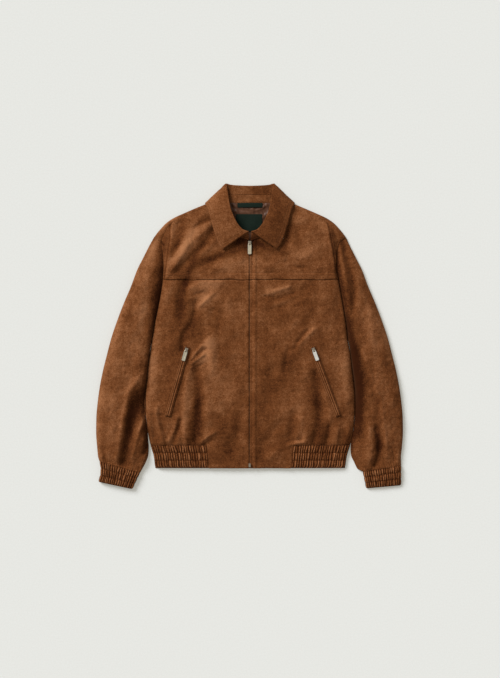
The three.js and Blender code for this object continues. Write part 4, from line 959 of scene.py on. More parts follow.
# Sleeves: tubes that lie flat; folds as on the fronts
sleeveFolds = {
    -1: [
        (((-282, -110), (-300, -140), (-310, -185), (-322, -248), (-331, -310)), 9, 5.0, 0.25),
        (((-266, -148), (-279, -180), (-291, -222), (-303, -272), (-311, -310)), 14, -11.0, -0.1),
        (((-257, -191), (-272, -226), (-284, -261), (-294, -301)), 5.5, 4.4, 0),
        (((-251, -226), (-254, -253), (-262, -291)), 5, -7.5, 0),
        (((-247, -235), (-249, -260), (-256, -290)), 3.0, 1.0, 0),
        (((-291, -169), (-261, -174)), 9, -2.2, 0),
        (((-337, -160), (-345, -235), (-342, -298)), 12, 2.2, 0),
        (((-296, -20), (-298, -35)), 3, -0.8, 0),
        (((-369, -282), (-359, -307)), 3.6, -1.8, 0),
        (((-356, -290), (-349, -310)), 3.4, 1.6, 0),
        (((-317, 89), (-325, 14), (-330, -61)), 16, 1.4, 0),
        (((-252, 168), (-272, 88), (-282, 13)), 13, 1.6, 0),
        (((-246, 239), (-256, 199)), 7, -1.8, 0),
        (((-275, 186), (-267, 153)), 6, -1.6, 0),
        (((-292, 139), (-304, 89)), 9, -1.2, 0),
        (((-275, -35), (-280, -110)), 11, 1.8, 0),
    ],
    1: [
        (((221, 230), (231, 185), (240, 128)), 4.6, 2.6, 0),
        (((236, 223), (251, 163), (261, 115), (256, 60)), 6.5, -4.4, -0.2),
        (((297, 51), (307, -27)), 13, 2.4, 0),
        (((279, -35), (306, -110), (326, -160), (334, -225), (339, -270)), 3.2, 1.4, 0),
        (((271, -37), (298, -112), (315, -164)), 7, -2.0, 0),
        (((305, -89), (311, -119)), 5, -1.8, 0),
        (((295, -230), (303, -275), (300, -305)), 8, 3.0, 0),
        (((313, -232), (322, -262), (321, -292), (312, -322)), 7, -6.0, 0.2),
        (((338, -240), (343, -300)), 5, 1.8, 0),
        (((275, -197), (279, -297)), 8, -2.6, 0),
        (((350, 16), (368, -84)), 10, -1.2, 0),
        (((284, 166), (309, 91)), 10, 1.4, 0),
        (((321, -161), (314, -211)), 6, -1.4, 0),
        (((354, -280), (362, -310)), 3.4, -1.6, 0),
    ],
}

# The sleeves' dark side next to the body: y, gain and width of the shade, right and left
sleeveShade = {
    -1: [(246, 0, 6), (175, -0.24, 8), (140, -0.32, 11), (90, -0.38, 13), (40, -0.34, 12), (-10, -0.24, 10),
         (-110, -0.2, 8), (-210, -0.16, 8), (-300, 0, 6)],
    1: [(250, 0, 8), (228, -0.26, 12), (140, -0.3, 11), (65, -0.3, 10), (-10, -0.36, 14), (-85, -0.48, 24),
        (-160, -0.5, 21), (-235, -0.42, 17), (-290, -0.2, 9)],
}

# Sleeves: cells round and along, section, how the cloth falls away to the armhole, and puckers at the cuff
sleeves = dict(
    rows=230, top=84, bottom=18, sharpness=3.0, innerSide=3.6, outerSide={-1: 3.2, 1: 2.2}, underSide=8,
    wear=[(60, 0.6, 51), (28, 0.4, 52), (13, 0.2, 53), (7, 0.08, 54)], outward={-1: 0.4, 1: -1.7},
    nearerBelow=255, nearer={-1: 0, 1: 1.5}, armholeGap=0.4, seamRise=2.2, headRows=9, headBow=1.4,
    fallRows=(0, 3, 6, 9, 11, 13, 16), fall={-1: (5, 12, 15, 12, 8, 4, 0), 1: (3, 6, 11, 20, 24, 20, 0)},
    fallDepth={-1: 0.75, 1: 0.7}, leastHollow=3.5, ground=0.12, pleat=1.5, pleatReach=2.2, swells=6,
    swell=1.3, rimHighlight=0.12, rimHighlightAt=0.03, rimHighlightHalf=0.06, underTone=0.6, section=(60, 20), foldEdge=0.045,
    foldHead=1.2, foldCuff=0.8, puckerEdge=0.06, puckerRows=2.2, bulgeTo=12,
)
cuffs = dict(
    ribs=17, seed=61, top=210, bottom=32, rows=49, sharpness=3.6, height=13.5, depth=3.2, puff=2.3, cloth=1.1,
    corner=0.09, cornerIn=0.075, pinch=0.028, pinchTo=0.96, waist={-1: 4.5, 1: 0}, end={-1: 0.05, 1: 0.4},
    endFrom=0.6, base=0.38, underDepth=0.5, section=(50, 10), edge=0.05,
)


def besideBody(side, x, y):
    # shade along the body: full at its edge and gone past the width
    places, gains, widths = np.array(sleeveShade[side], float).T
    distance = np.maximum(side * x - np.abs(bodyEdge(side, y)), 0)
    return along(places, gains, y) * np.exp(-(distance / along(places, widths, y)) ** 2.5)


def armholePoint(side, share):
    # along the armhole from the notch (0) down to the underarm (1)
    y = along([0, 0.05, 0.15, 0.28, 0.41, 0.54, 0.68, 0.82, 1],
              [246, 233, 205, 173, 141.5, 105, 68, 30, -10], share)
    near = np.clip((cut["notchY"] - y) / (cut["notchY"] - cut["capY"]), 0, 1)
    x = np.where(y > cut["capY"], mix(side * cut["notchX"], bodyEdge(side, cut["capY"]), near),
                 bodyEdge(side, np.minimum(y, cut["capY"])))
    return x + side * sleeves["armholeGap"], y


def sleeveLines(side, at):
    # outer and inner edge and crown height at places down the sleeve, in rows of its table
    rows = np.arange(len(sleeveTable) + 1)
    corners = cuffCorners[side]
    tableX, outerY, givenX, innerY, crown = sleeveTable.T
    follow = np.abs(bodyEdge(side, innerY)) + cut["sleeveGap"]
    nearer = np.where((givenX > 0) & (givenX < sleeves["nearerBelow"]), sleeves["nearer"][side], 0)
    outerX = np.append(side * (tableX + sleeves["outward"][side]), corners[0][0])
    innerX = np.append(side * (np.where(givenX > 0, givenX, follow) - nearer), corners[1][0])
    outerY = np.append(outerY, corners[0][1])
    innerY = np.append(innerY, corners[1][1])
    crown = np.append(crown, cuffs["height"] + 0.5)
    outerX[0], outerY[0] = armholePoint(side, np.array(0.0))
    innerX[0], innerY[0] = armholePoint(side, np.array(1.0))
    return [along(rows, values, at)[:, None] for values in (outerX, outerY, innerX, innerY, crown)]


def tubeShares(top, bottom, sharpness, width, height):
    # places round a flat tube: over its top from the outer edge (0) to the inner one (1), then back below
    over = (evenShares(top, sharpness, width, height, both=True) + 1) / 2
    under = np.linspace(1, 0, bottom)[1:-1]
    return np.concatenate([over, under]), np.arange(len(over) + len(under)) < len(over)


def sleevePlace(side, share, at, lines):
    # between the two edges, bowed at the head so that the first row follows the armhole
    outerX, outerY, innerX, innerY = lines
    headX, headY = armholePoint(side, share[None, :])
    firstX, firstY = armholePoint(side, np.array(0.0))
    lastX, lastY = armholePoint(side, np.array(1.0))
    bow = np.maximum(0, 1 - at / sleeves["headRows"]) ** sleeves["headBow"]
    x = mix(outerX, innerX, share) + bow * (headX - mix(firstX, lastX, share))
    y = mix(outerY, innerY, share) + bow * (headY - mix(firstY, lastY, share))
    return x, y


def cuffPuckers(side, share, up):
    # pleats that run up from the gathered cuff and a few wide swells over them
    pleat = pleats(share, cuffs["ribs"], cuffs["seed"] + side)
    wide = np.sin(pi * ribPhase(share, sleeves["swells"], cuffs["seed"] + 4 + side, 0))
    reach = np.exp(-(up * sleeves["pleatReach"]) ** 1.3)
    return sleeves["pleat"] * pleat * reach + sleeves["swell"] * wide * np.exp(-((up - 0.55) / 0.5) ** 2)


def makeSleeve(side, name):
    # rounded section over a flat underside, falling away towards the armhole, with the folds and puckers
    share, isTop = tubeShares(sleeves["top"], sleeves["bottom"], sleeves["sharpness"], *sleeves["section"])
    last = len(sleeveTable)
    way = np.linspace(0, 1, sleeves["rows"]) * last
    *lines, crown = sleeveLines(side, way)
    at = way[:, None]
    x, y = sleevePlace(side, share, at, lines)
    outerX, outerY, innerX, innerY = lines
    base = cut["plate"] + sleeves["seamRise"] * ease(at / 3) * ease((last - at) / 1.5)
    section = dome(2 * share - 1, np.where(share > 0.5, sleeves["innerSide"], sleeves["outerSide"][side]))
    toArmhole = (1 - share) * np.hypot(outerX - innerX, outerY - innerY)
    fallWidth = along(sleeves["fallRows"], sleeves["fall"][side], at) + 0.01
    section = section * (1 - sleeves["fallDepth"][side] * np.exp(-(toArmhole / fallWidth) ** 2))
    fromEdge = np.minimum(share, 1 - share)
    foldFade = ease(fromEdge / sleeves["foldEdge"]) * ease(at / sleeves["foldHead"])
    foldFade = foldFade * ease((last - at) / sleeves["foldCuff"])
    folds = foldFade * (foldRelief(sleeveFolds[side], x, y) + wear(x, y, sleeves["wear"]))
    edgeFade = ease(fromEdge / sleeves["puckerEdge"])
    puckered = cuffPuckers(side, np.broadcast_to(share, x.shape), (last - at) / sleeves["puckerRows"])
    underZ = base * (1 - dome(2 * share - 1, sleeves["underSide"])) + sleeves["ground"]
    topZ = base + (crown - base) * section + folds + edgeFade * puckered
    topZ = np.maximum(topZ, underZ + sleeves["leastHollow"] * edgeFade)
    bulge = outwardBulge(dome(2 * share - 1, sleeves["sharpness"])) * ((share > 0.5) & isTop)
    bulge = bulge * ease((sleeves["bulgeTo"] - at) / 2) * ease(at - 1)
    grid = np.stack([x - side * bulge, y, np.where(isTop, topZ, underZ)], axis=2)
    # painted highlight along the sleeve's outer edge, standing in for the nap's sheen, plus painted shade
    # beside the body
    rimHighlight = np.exp(-((share - sleeves["rimHighlightAt"]) / sleeves["rimHighlightHalf"]) ** 2) * ease(at / 2)
    shade = sleeves["rimHighlight"] * rimHighlight + besideBody(side, x, y)
    topTone = napAndShadingTone(x, y) + foldShading(sleeveFolds[side], x, y) + shade
    sew(f"sleeve{name}", grid, cut["cloth"], suede, "suede",
        [f"sleeve_top_{name.lower()}", f"sleeve_under_{name.lower()}"], facing=side, wrap=True,
        tone=np.where(isTop, topTone, sleeves["underTone"] * napAndShadingTone(x, y)))


def makeCuff(side, name):
    # a flat tube between four corners with rows of ribs; its sides are pinched at the stitch lines and
    # rounded off at the end
    corners = np.array(cuffCorners[side], float)
    share, isTop = tubeShares(cuffs["top"], cuffs["bottom"], cuffs["sharpness"], *cuffs["section"])
    S, D = np.meshgrid(share, np.linspace(0.01, 1, cuffs["rows"]))
    outer = mix(corners[0], corners[2], D[..., None])
    inner = mix(corners[1], corners[3], D[..., None])
    puffed, rib = gatherRelief(S, D, cuffs["ribs"], cuffs["seed"] + side)
    toEnd = np.clip(1 - (1 - D) / cuffs["corner"], 0, 1)
    narrow = 1 - cuffs["pinch"] * (1 - puffed) * (D < cuffs["pinchTo"])
    narrow = narrow - cuffs["cornerIn"] * (1 - np.sqrt(1 - toEnd ** 2))
    flat = mix(outer, inner, 0.5 + ((S - 0.5) * narrow)[..., None])
    flat[..., 0] += cuffs["waist"][side] * np.sin(pi * D) * (1 - S) ** 3
    edge = ease(np.minimum(S, 1 - S) / cuffs["edge"])
    tall = cuffs["height"] * (1 - cuffs["end"][side] * ease((D - cuffs["endFrom"]) / (1 - cuffs["endFrom"])))
    base = tall * cuffs["base"]
    topZ = base + (tall - base) * dome(2 * S - 1, cuffs["sharpness"])
    topZ = topZ + edge * gatherHeight(puffed, rib, cuffs["puff"], cuffs["depth"])
    underZ = base * (1 - dome(2 * S - 1, sleeves["underSide"])) + cut["ground"]
    underZ = underZ + cuffs["underDepth"] * edge * (1 - rib * puffed)
    grid = np.concatenate([flat, np.where(isTop, topZ, underZ)[..., None]], axis=2)
    tone = bands["napShare"] * napAndShadingTone(grid[..., 0], grid[..., 1]) + gatherShading(puffed, rib)
    sew(f"cuff{name}", grid, cuffs["cloth"], shadedGatheredSuede, "suede_gathered", [f"cuff_{name.lower()}"],
        facing=side, wrap=True, tone=tone)


for make in (makeSleeve, makeCuff):
    for side, name in sides:
        make(side, name)
print("sleeves and cuffs ready")

# Collar: one turned band, stand up from the neck seam, round the roll and down the fall
collar = dict(
    stations=260, stand=12, rollRows=9, fall=40, standOff=5.1, footOff=2.4, rollOut=1.6, crown=2.2, cloth=1.6,
    lift=2.6, lowest=0.45, leafLightAndShade={-1: 0.07, 1: -0.09}, toneShare=0.7, stitches=(6.0, 12.0), grow=0.5,
    stitchDepth=0.6, stitchHalf=0.9, edgePuff=0.4, edgeDrop=0.9, uneven=0.45, inward=(0.69, 0.72),
    wear=[(45, 0.5, 81), (20, 0.3, 82), (9, 0.1, 83)],
)


def collarLines(at):
    # roll, edge and neck lines and the inward direction at station places 0 (right front) to 28
    last = len(collarTable) - 1
    index = np.arange(2 * last + 1)
    row = np.where(index <= last, index, 2 * last - index)
    side = np.where(index < last, -1, 1)
    values = collarTable[row].copy()
    for column in (0, 3, 6):
        values[:, column] = side * (values[:, column] + np.where(values[:, column] > 1, collar["grow"], 0))
    lines = [along(index, values[:, column], at) for column in range(10)]
    roll, edge, neckSeam = (np.stack(lines[i:i + 3], axis=-1) for i in (0, 3, 6))
    edge[:, 2] += collar["lift"] * ease((9 - np.minimum(at, last * 2 - at)) / 4)
    turn = np.radians(lines[9])
    sign = np.where(at <= last, -1, 1)
    sideways, backwards = collar["inward"]
    inward = np.stack([-sign * sideways * np.cos(turn), -backwards * np.cos(turn), np.sin(turn)], axis=-1)
    return roll, edge, neckSeam, inward


def collarRelief(grid, edge, rollIn, fallShares):
    # grooves of the stitch rows inside the outer edge, puffed cloth between them, a rounded edge
    length = np.linalg.norm(edge - rollIn, axis=-1)
    fromEdge = np.full(grid.shape[:2], 99.0)
    fromEdge[-len(fallShares):] = (1 - fallShares)[:, None] * length
    arc = np.concatenate([[0], np.cumsum(np.linalg.norm(np.diff(edge, axis=0), axis=-1))])
    onFall = np.zeros(grid.shape[:2])
    onFall[-len(fallShares):] = 1
    nearest = np.minimum(fromEdge, np.minimum(arc, arc[-1] - arc) + (1 - onFall) * 99)
    relief = -collar["stitchDepth"] * sum(creaseLine(nearest - place, collar["stitchHalf"])
                                          for place in collar["stitches"])
    relief = relief + collar["edgePuff"] * ease((nearest - 1.5) / 2) * ease((6 - nearest) / 2)
    relief = relief + onFall * collar["uneven"] * wear(grid[..., 0], grid[..., 1], collar["wear"])
    return relief - collar["edgeDrop"] * ease((2.5 - nearest) / 2.5), nearest


def makeCollar():
    # rows of points: the stand, half a circle's turn over the roll, and the fall with a slight crown
    at = np.linspace(0, 2 * (len(collarTable) - 1), collar["stations"])
    roll, edge, neckSeam, inward = collarLines(at)
    outward = roll - (edge + neckSeam) / 2
    outward -= inward * np.sum(outward * inward, axis=-1, keepdims=True)
    outward /= np.linalg.norm(outward, axis=-1, keepdims=True)
    rollIn = roll - outward * collar["rollOut"]
    standTop = rollIn + inward * collar["standOff"]
    standFoot = neckSeam + inward * collar["footOff"]
    radius = collar["standOff"] / 2
    frontness = np.clip(-inward[:, 2:3], 0, 1)
    fallShares = np.linspace(0, 1, collar["fall"] + 1)[1:]
    rows = [mix(standFoot, standTop, share) for share in np.linspace(0, 1, collar["stand"], endpoint=False)]
    rows += [rollIn + inward * radius * (1 + math.cos(angle))
             + outward * math.sin(angle) * (collar["rollOut"] + 0.6)
             for angle in np.linspace(0, pi, collar["rollRows"])]
    rows += [mix(rollIn, edge, share) - inward * (collar["crown"] * math.sin(pi * share) * frontness)
             for share in fallShares]
    grid = np.stack(rows)
    x, y = grid[..., 0], grid[..., 1]
    # the wearer's right leaf painted lighter and the left one darker: painted light and shade of the key
    # light
    paintedLeafLight = np.where(x < 0, collar["leafLightAndShade"][-1], collar["leafLightAndShade"][1]) * ease(np.abs(x) / 10)
    tone = napAndShadingTone(x, y) * collar["toneShare"] + paintedLeafLight
    relief, nearest = collarRelief(grid, edge, rollIn, fallShares)
    grid = grid + gridNormals(grid) * relief[..., None]
    grid[..., 2] = np.maximum(grid[..., 2], collar["lowest"])
    sew("collar", grid, collar["cloth"], suede, "suede", ["collar_fall", "collar_stand"], tone=tone)
    return grid, nearest


collarGrid, collarNearest = makeCollar()
print("collar ready")

# Inside the neck: facing, lining, loop and label one above the other on the back
neck = dict(facingTop=350, facingBottom=332, facingHalf=60, facingUp=2.4, liningBottom=205, liningHalf=76,
            liningUp=1.5, liningNarrow=0.2, loopY=326, loopHalf=31, loopWidth=11, loopUp=4.6, loopBow=1.8,
            labelX=(-35, 30), labelY=(261, 303.5), labelUp=4.0)
liningCreases = [
    (((-52, 327), (-20, 318), (10, 316)), 4, 2.2, 0.2), (((50, 326), (30, 316), (12, 312)), 4, 2.4, 0),
    (((-56, 314), (-30, 308), (0, 307)), 4, 1.8, 0), (((56, 306), (40, 300), (30, 290)), 4, 1.8, 0),
    (((-44, 322), (-36, 300), (-38, 280)), 3.5, 1.5, 0), (((44, 318), (40, 300)), 3, -1.4, 0),
]


def overBack(xs, ys, up):
    # places on a level grid and the height above the back panel's upper face
    x, y = np.meshgrid(xs, ys)
    return x, y, neckLift(x, y) + cut["ground"] + cut["cloth"] + up


def makeFacing():
    # a flat strip, its lower edge turned down
    x, y, z = overBack(np.linspace(-neck["facingHalf"], neck["facingHalf"], 90),
                       np.linspace(neck["facingBottom"] - 1, neck["facingTop"] + 1, 24), neck["facingUp"])
    z = z + 0.25 * ripple(x, y, 16, 91) - 0.8 * creaseLine(y - neck["facingBottom"], 2)
    sew("neckFacing", np.stack([x, y, z], axis=2), 1.2, suede, "suede", ["neck_facing"],
        tone=napAndShadingTone(x, y) + 0.05)


def makeLining():
    # a sheet with a few creases, narrowing towards the neck
    x, y, z = overBack(np.linspace(-neck["liningHalf"], neck["liningHalf"], 90),
                       np.linspace(neck["liningBottom"], neck["facingBottom"], 76), neck["liningUp"])
    z = z + np.maximum(foldRelief(liningCreases, x, y), -0.4) + 0.3 * ripple(x, y, 14, 92)
    narrow = 1 - neck["liningNarrow"] * ease((y - 240) / 90)
    sew("backLining", np.stack([x * narrow, y, z], axis=2), 0.8, satin, "lining", ["back_lining"])


def makeLoop():
    # a ribbon that bows up between its ends
    across = np.linspace(-0.5, 0.5, 9)
    x, y, z = overBack(np.linspace(-neck["loopHalf"], neck["loopHalf"], 60),
                       neck["loopY"] + across * neck["loopWidth"], neck["loopUp"])
    z = z + neck["loopBow"] * np.cos(x / neck["loopHalf"] * pi / 2) + 0.3 * np.cos(across * pi)[:, None]
    sew("hangerLoop", np.stack([x, y, z], axis=2), 1.0, greenCloth, "trim_green", ["hanger_loop"])


def makeLabel():
    # a bare flat label, barely uneven
    x, y, z = overBack(np.linspace(*neck["labelX"], 60), np.linspace(*neck["labelY"], 50), neck["labelUp"])
    z = z + 0.25 * ripple(x, y, 40, 93)
    sew("neckLabel", np.stack([x, y, z], axis=2), 0.9, greenCloth, "trim_green", ["neck_label"])


for make in (makeFacing, makeLining, makeLoop, makeLabel):
    make()
print("neck ready")

# Pockets: two lips of cloth meeting over the zip's coil, stitched all round
pocket = dict(
    half=6.6, slit=0.4, rise=2.4, lip=0.4, lift=0.6, rows=100, columns=13, end=0.025, cloth=1.0, length=178,
    stitchAt=4.1, stitchDepth=0.55, stitchIn=2.1, dip=0.5, rounding=1.8, coilPitch=1.5, coilHalf=1.1,
    coilRadius=0.42, coilLift=1.05, coilFrom=0.09, coilTo=0.965,
    grooveShadeAndEdgeLight=[(-0.46, 2.1), (0.12, 0.6)], slitShade=-0.52, ridgeHighlight=0.24, napShare=0.6,
)


def pocketPlace(side, share, across):
    # point on the slit's line at a share of its length, moved across by millimetres
    (x0, y0), (x1, y1) = pocketLines[side]
    length = math.hypot(x1 - x0, y1 - y0)
    aheadX, aheadY = (x1 - x0) / length, (y1 - y0) / length
    return mix(x0, x1, share) - aheadY * across, mix(y0, y1, share) + aheadX * across


def makePocket(side, name):
    # flat lips that round down at the outer edge, a groove for the stitches, a dip at the slit
    left = np.linspace(-pocket["half"], -pocket["slit"], pocket["columns"])
    A, V = np.meshgrid(np.linspace(0, 1, pocket["rows"]), np.concatenate([left, -left[::-1]]), indexing="ij")
    x, y = pocketPlace(side, A, V)
    inside = np.minimum(pocket["half"] - np.abs(V), np.minimum(A, 1 - A) * pocket["length"])
    height = pocket["rise"] * ease(inside / pocket["rounding"]) ** 0.5
    height = height - pocket["stitchDepth"] * creaseLine(inside - pocket["stitchIn"], 0.6)
    height = height - pocket["dip"] * creaseLine(V, 0.8) + pocket["lip"] * creaseLine(V * side - 2.6, 1.2)
    grid = np.stack([x, y, frontAt(side, x, y) + pocket["lift"] + height], axis=2)
    keep = np.ones((grid.shape[0] - 1, grid.shape[1] - 1), bool)
    ends = int(pocket["end"] * pocket["rows"]) + 1
    keep[ends:-ends, pocket["columns"] - 1] = False
    # painted shade in the slit and along the stitch groove, painted highlight on the lips' ridges and rounded
    # outer edge
    tone = pocket["napShare"] * napAndShadingTone(x, y) + pocket["slitShade"] * creaseLine(V, 1.0) + 0.02
    tone = tone + pocket["ridgeHighlight"] * creaseLine(np.abs(V) - 2.4, 0.9)
    for gain, place in pocket["grooveShadeAndEdgeLight"]:
        tone = tone + gain * creaseLine(inside - place, 0.7)
    sew(f"pocketFrame{name}", grid, pocket["cloth"], suede, "suede", [f"pocket_welt_{name.lower()}"],
        keep=keep, tone=tone)


for side, name in sides:
    makePocket(side, name)
print("pockets ready")


def restOn(grid, x, y):
    # height of a surface at places: that of its nearest point, carried on along its slope
    points = grid.reshape(-1, 3)
    normals = gridNormals(grid).reshape(-1, 3)
    z = np.empty(len(x))
    for start in range(0, len(x), 200):
        part = slice(start, start + 200)
        dx = x[part, None] - points[None, :, 0]
        dy = y[part, None] - points[None, :, 1]
        best = np.argmin(dx * dx + dy * dy, axis=1)
        rows = np.arange(len(best))
        n = normals[best]
        steep = np.clip(np.stack([n[:, 0], n[:, 1]]) / np.where(np.abs(n[:, 2]) < 0.3, 1e9, n[:, 2]), -2, 2)
        z[part] = points[best, 2] - steep[0] * dx[rows, best] - steep[1] * dy[rows, best]
    return z


# Threads: one slim grain for each stitch, one behind the other along a row
thread = dict(pitch=3.4, length=2.5, radius=0.36, sink=0.05, shoulder=0.28)


def grainTemplate():
    # closed grain along x: a point, two rings of four, a point
    ring = [(math.cos(k * pi / 2), math.sin(k * pi / 2)) for k in range(4)]
    points = [(-0.5, 0, 0)]
    points += [(place, c, s) for place in (-thread["shoulder"], thread["shoulder"]) for c, s in ring]
    points.append((0.5, 0, 0))
    faces = []
    for k in range(4):
        n = (k + 1) % 4
        faces += [(0, 1 + n, 1 + k), (1 + k, 1 + n, 5 + n), (1 + k, 5 + n, 5 + k), (9, 5 + k, 5 + n)]
    return np.array(points, float), np.array(faces)


def grains(name, middles, ways, length, radius, material):
    # a copy of the grain at each middle, its long axis along the way given there
    points, faces = grainTemplate()
    forward = ways / np.linalg.norm(ways, axis=1, keepdims=True)
    sideways = np.cross(np.array([0, 0, 1.0]), forward)
    sideways /= np.linalg.norm(sideways, axis=1, keepdims=True)
    upward = np.cross(forward, sideways)
    axes = np.stack([length * forward, radius * sideways, radius * upward], axis=1)
    placed = middles[:, None, :] + points @ axes
    steps = (np.arange(len(middles)) * len(points))[:, None, None]
    piece = makeMesh(name, placed.reshape(-1, 3) * mm, (faces + steps).reshape(-1, 3))
    return finishPiece(piece, material)


def threadRow(points):
    # middles and ways of the stitches along a line of points
    points = np.asarray(points, float)
    arc = np.concatenate([[0], np.cumsum(np.linalg.norm(np.diff(points, axis=0), axis=1))])
    at = np.arange(thread["pitch"] / 2, arc[-1], thread["pitch"])

    def spot(place):
        return np.stack([np.interp(place, arc, points[:, axis]) for axis in range(3)], axis=1)

    middles = spot(at)
    ways = spot(np.minimum(at + 1, arc[-1])) - spot(np.maximum(at - 1, 0))
    middles[:, 2] -= thread["sink"]
    return middles, ways


def stitchPiece(name, rows):
    parts = [threadRow(row) for row in rows if len(row) > 2]
    middles, ways = (np.concatenate(part) for part in zip(*parts))
    return grains(name, middles, ways, thread["length"], thread["radius"], threadLook)


# Where the stitch rows run: distances from the seams they follow, and points along each
stitching = dict(
    fromZip=14.0, fromSide=4.0, besideSeam=(3.5, 8.0), seamTop=272, seamFoot=150, besideElastic=3.0,
    hemUp=8.0, fromHem=4.0, fromBand=2.0, placketTop=205, pocketEnd=0.012, edgeSlack=1.2,
)


def onYoke(side, x, y):
    # points that lie on the yoke
    return np.stack([x, y, restOn(yokeGrids[side], x, y)], axis=1)


def onPanel(side, x, y, up=0.0):
    # points on the panel below the yoke, or so far above it
    return np.stack([x, y, frontAt(side, x, y) + up], axis=1)


def yokeRows(side):
    # two rows over the yoke seam and two beside the shoulder seam
    rows = []
    zipX = cut["zipX"] + side * stitching["fromZip"]
    for above in fronts["yokeStitches"]:
        y = np.full(120, cut["yokeSeamY"] + above)
        endX = bodyEdge(side, y[0]) - side * stitching["fromSide"]
        rows.append(onYoke(side, np.linspace(zipX, endX, 120), y))
    seamLine = np.array(shoulderSeams[0 if side < 0 else 2][0], float)
    for outward in stitching["besideSeam"]:
        y = np.linspace(stitching["seamTop"], stitching["seamFoot"], 60)
        x = np.interp(-y, -seamLine[:, 1], seamLine[:, 0]) + side * outward
        inside = np.abs(x) < np.abs(bodyEdge(side, np.minimum(y, cut["capY"] - 1))) - 2
        rows.append(onYoke(side, x, y)[inside])
    return rows


def placketRows(side):
    # along the front edge, up the panel and on over the yoke
    rows = []
    for offset in placket["stitches"][:3]:
        if offset * side > 0:
            low = np.linspace(cut["hemY"] + stitching["fromHem"], cut["yokeSeamY"] - 2, 260)
            high = np.linspace(cut["yokeSeamY"] + 2, stitching["placketTop"], 60)
            rows.append(onPanel(side, np.full(260, cut["zipX"] + offset), low))
            rows.append(onYoke(side, np.full(60, cut["zipX"] + offset), high))
    return rows


def bandRows(side):
    # along the plain part of the hem and up beside the elastic
    hemY = cut["hemY"] + stitching["hemUp"]
    beside = side * stitching["besideElastic"]
    endX = mix(cut["zipX"], bodyEdge(side, hemY), cut["elasticFrom"]) - beside
    x = np.linspace(cut["zipX"] + side * stitching["fromZip"], endX, 60)
    y = np.linspace(cut["hemY"] + stitching["fromHem"], cut["bandTopY"] - stitching["fromBand"], 40)
    upX = mix(cut["zipX"], bodyEdge(side, y), cut["elasticFrom"]) - beside
    return [onPanel(side, x, np.full(60, hemY)), onPanel(side, upX, y)]


def pocketRows(side):
    # down both lips
    share = np.linspace(stitching["pocketEnd"], 1 - stitching["pocketEnd"], 90)
    up = pocket["lift"] + pocket["rise"] - pocket["stitchDepth"]
    return [onPanel(side, *pocketPlace(side, share, across), up)
            for across in (-pocket["stitchAt"], pocket["stitchAt"])]


def collarRows():
    # two rows along the collar's free edge, read off its grid where the distance to the edge fits
    rows = []
    last = collar["fall"]
    first = collarGrid.shape[0] - last
    columns = np.arange(collarGrid.shape[1])
    length = np.linalg.norm(collarGrid[-1] - collarGrid[-last], axis=1)
    for place in collar["stitches"]:
        index = np.clip((1 - place / length) * (last - 1), 0, last - 2)
        low = index.astype(int)
        line = mix(collarGrid[first + low, columns], collarGrid[first + low + 1, columns],
                   (index - low)[:, None])
        rows.append(line[collarNearest[first + low, columns] > place - stitching["edgeSlack"]])
    return rows


for side, name in sides:
    stitchPiece(f"frontStitches{name}",
                yokeRows(side) + placketRows(side) + bandRows(side) + pocketRows(side))
stitchPiece("collarStitches", collarRows())
print("stitches ready")

# Zips: teeth in the front opening, coil in the pockets
zips = dict(pitch=2.1, toothLength=1.5, toothRadius=0.5, toothLift=-1.5, toothOut=0.35, fromHem=10,
            topY=226.0, bevel=0.00028, bevelAngle=35)


def makeTeeth():
    # teeth by turns on the two sides of the closing line
    y = np.arange(cut["hemY"] + zips["fromHem"], zips["topY"], zips["pitch"] / 2)
    side = np.where(np.arange(len(y)) % 2 == 0, -1.0, 1.0)
    middles = np.stack([cut["zipX"] + side * zips["toothOut"], y, crownHeight(y) + zips["toothLift"]], axis=1)
    ways = np.tile([1.0, 0.0, 0.0], (len(y), 1))
    grains("frontTeeth", middles, ways, zips["toothLength"], zips["toothRadius"], zipTeeth)


def makeCoil(side, name):
    # short wires across the slit
    share = np.arange(pocket["coilFrom"], pocket["coilTo"], pocket["coilPitch"] / pocket["length"])
    middles = onPanel(side, *pocketPlace(side, share, 0.0), pocket["lift"] + pocket["coilLift"])
    (x0, y0), (x1, y1) = pocketLines[side]
    ways = np.tile([y0 - y1, x1 - x0, 0.0], (len(share), 1))
    grains(f"pocketCoil{name}", middles, ways, 2 * pocket["coilHalf"], pocket["coilRadius"], zipTeeth)


def refined(nodeName, pieceName, material, body="jacket"):
    # the node's own shape with its doubles merged and its edges rounded
    shape = bmesh.new()
    shape.from_mesh(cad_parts[nodeName].data)
    bmesh.ops.remove_doubles(shape, verts=shape.verts, dist=1e-6)
    bmesh.ops.dissolve_limit(shape, angle_limit=0.01, verts=shape.verts, edges=shape.edges)
    mesh = bpy.data.meshes.new(pieceName)
    shape.to_mesh(mesh)
    shape.free()
    mesh.materials.clear()
    piece = bpy.data.objects.new(pieceName, mesh)
    bpy.context.scene.collection.objects.link(piece)
    bevel = piece.modifiers.new("roundedEdges", "BEVEL")
    bevel.width = zips["bevel"]
    bevel.segments = 2
    bevel.limit_method = "ANGLE"
    bevel.angle_limit = math.radians(zips["bevelAngle"])
    for face in mesh.polygons:
        face.use_smooth = False
    return finishPiece(piece, material, body, nodes=[nodeName])


def makeMetal():
    refined("front_slider", "frontSliderBody", sliderMetal)
    refined("pocket_right_slider", "pocketSliderRight", sliderMetal)
    refined("pocket_left_slider", "pocketSliderLeft", sliderMetal)
    refined("front_zip_box", "frontZipBox", sliderMetal)
    refined("front_pull", "frontPullTab", warmMetal, "front_tab")
    refined("pocket_right_pull", "pocketPullRight", warmMetal, "right_pocket_tab")
    refined("pocket_left_pull", "pocketPullLeft", zipMetal, "left_pocket_tab")
    for name in ("front_zip_tape", "pocket_zip_right", "pocket_zip_left"):
        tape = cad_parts[name]
        tape.data.materials.clear()
        tape.data.materials.append(zipTape)


makeTeeth()
for side, name in sides:
    makeCoil(side, name)
makeMetal()
print("zips ready")

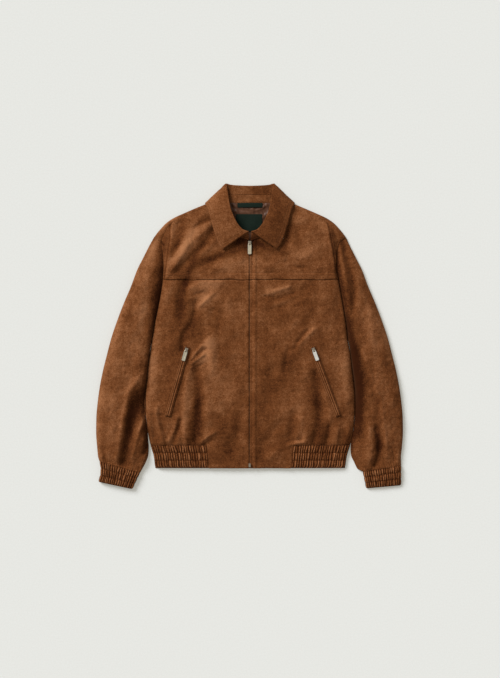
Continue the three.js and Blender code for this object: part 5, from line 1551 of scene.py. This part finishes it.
# Stage: floor, light and camera
stageLook = dict(
    floorColor=(0.470, 0.483, 0.490), floorGlow=(0.255, 0.245, 0.203, 1), floorHalf=6.0, grainScale=260.0,
    grain=0.05, keyFrom=(-0.62, 0.62, 0.58), keySpread=28.0, key=4.2, sky=0.42, skyColor=(1.0, 0.99, 0.97, 1),
    cameraHeight=4.0, lens=85.0, sensor=36.0, centreY=-7.5,
)


def makeFloor():
    # plain floor with a faint paper grain: noise spread about its colour
    half = stageLook["floorHalf"]
    mesh = bpy.data.meshes.new("floor")
    corners = [(-half, -half, 0), (half, -half, 0), (half, half, 0), (-half, half, 0)]
    mesh.from_pydata(corners, [], [(0, 1, 2, 3)])
    floor = bpy.data.objects.new("floor", mesh)
    bpy.context.scene.collection.objects.link(floor)
    material, tree, shader = newMaterial(
        "paleFloor", Emission_Color=stageLook["floorGlow"], Emission_Strength=1.0, Roughness=0.9,
        Specular_IOR_Level=0.1)
    place = addNode(tree, "ShaderNodeTexCoord")
    grain = addNode(tree, "ShaderNodeTexNoise", Scale=stageLook["grainScale"], Detail=2.0, Roughness=0.8)
    color = variedColor(tree, grain, stageLook["floorColor"], stageLook["grain"], 0.25)
    tree.links.new(place.outputs["Object"], grain.inputs["Vector"])
    tree.links.new(color, shader.inputs["Base Color"])
    floor.data.materials.append(material)


def makeLight():
    sun = bpy.data.objects.new("keyLight", bpy.data.lights.new("keyLight", "SUN"))
    sun.data.energy = stageLook["key"]
    sun.data.angle = math.radians(stageLook["keySpread"])
    sun.rotation_euler = Vector(stageLook["keyFrom"]).to_track_quat("Z", "Y").to_euler()
    bpy.context.scene.collection.objects.link(sun)
    world = bpy.data.worlds.new("softRoom")
    world.use_nodes = True
    background = world.node_tree.nodes["Background"]
    background.inputs["Color"].default_value = stageLook["skyColor"]
    background.inputs["Strength"].default_value = stageLook["sky"]
    bpy.context.scene.world = world


def makeCamera():
    # straight above the garment, looking down
    camera = bpy.data.objects.new("camera", bpy.data.cameras.new("camera"))
    camera.data.lens = stageLook["lens"]
    camera.data.sensor_width = stageLook["sensor"]
    camera.data.clip_end = 100
    camera.location = (0, stageLook["centreY"] * mm, stageLook["cameraHeight"])
    bpy.context.scene.collection.objects.link(camera)
    bpy.context.scene.camera = camera
    bpy.context.scene.view_settings.view_transform = "Standard"


makeFloor()
makeLight()
makeCamera()
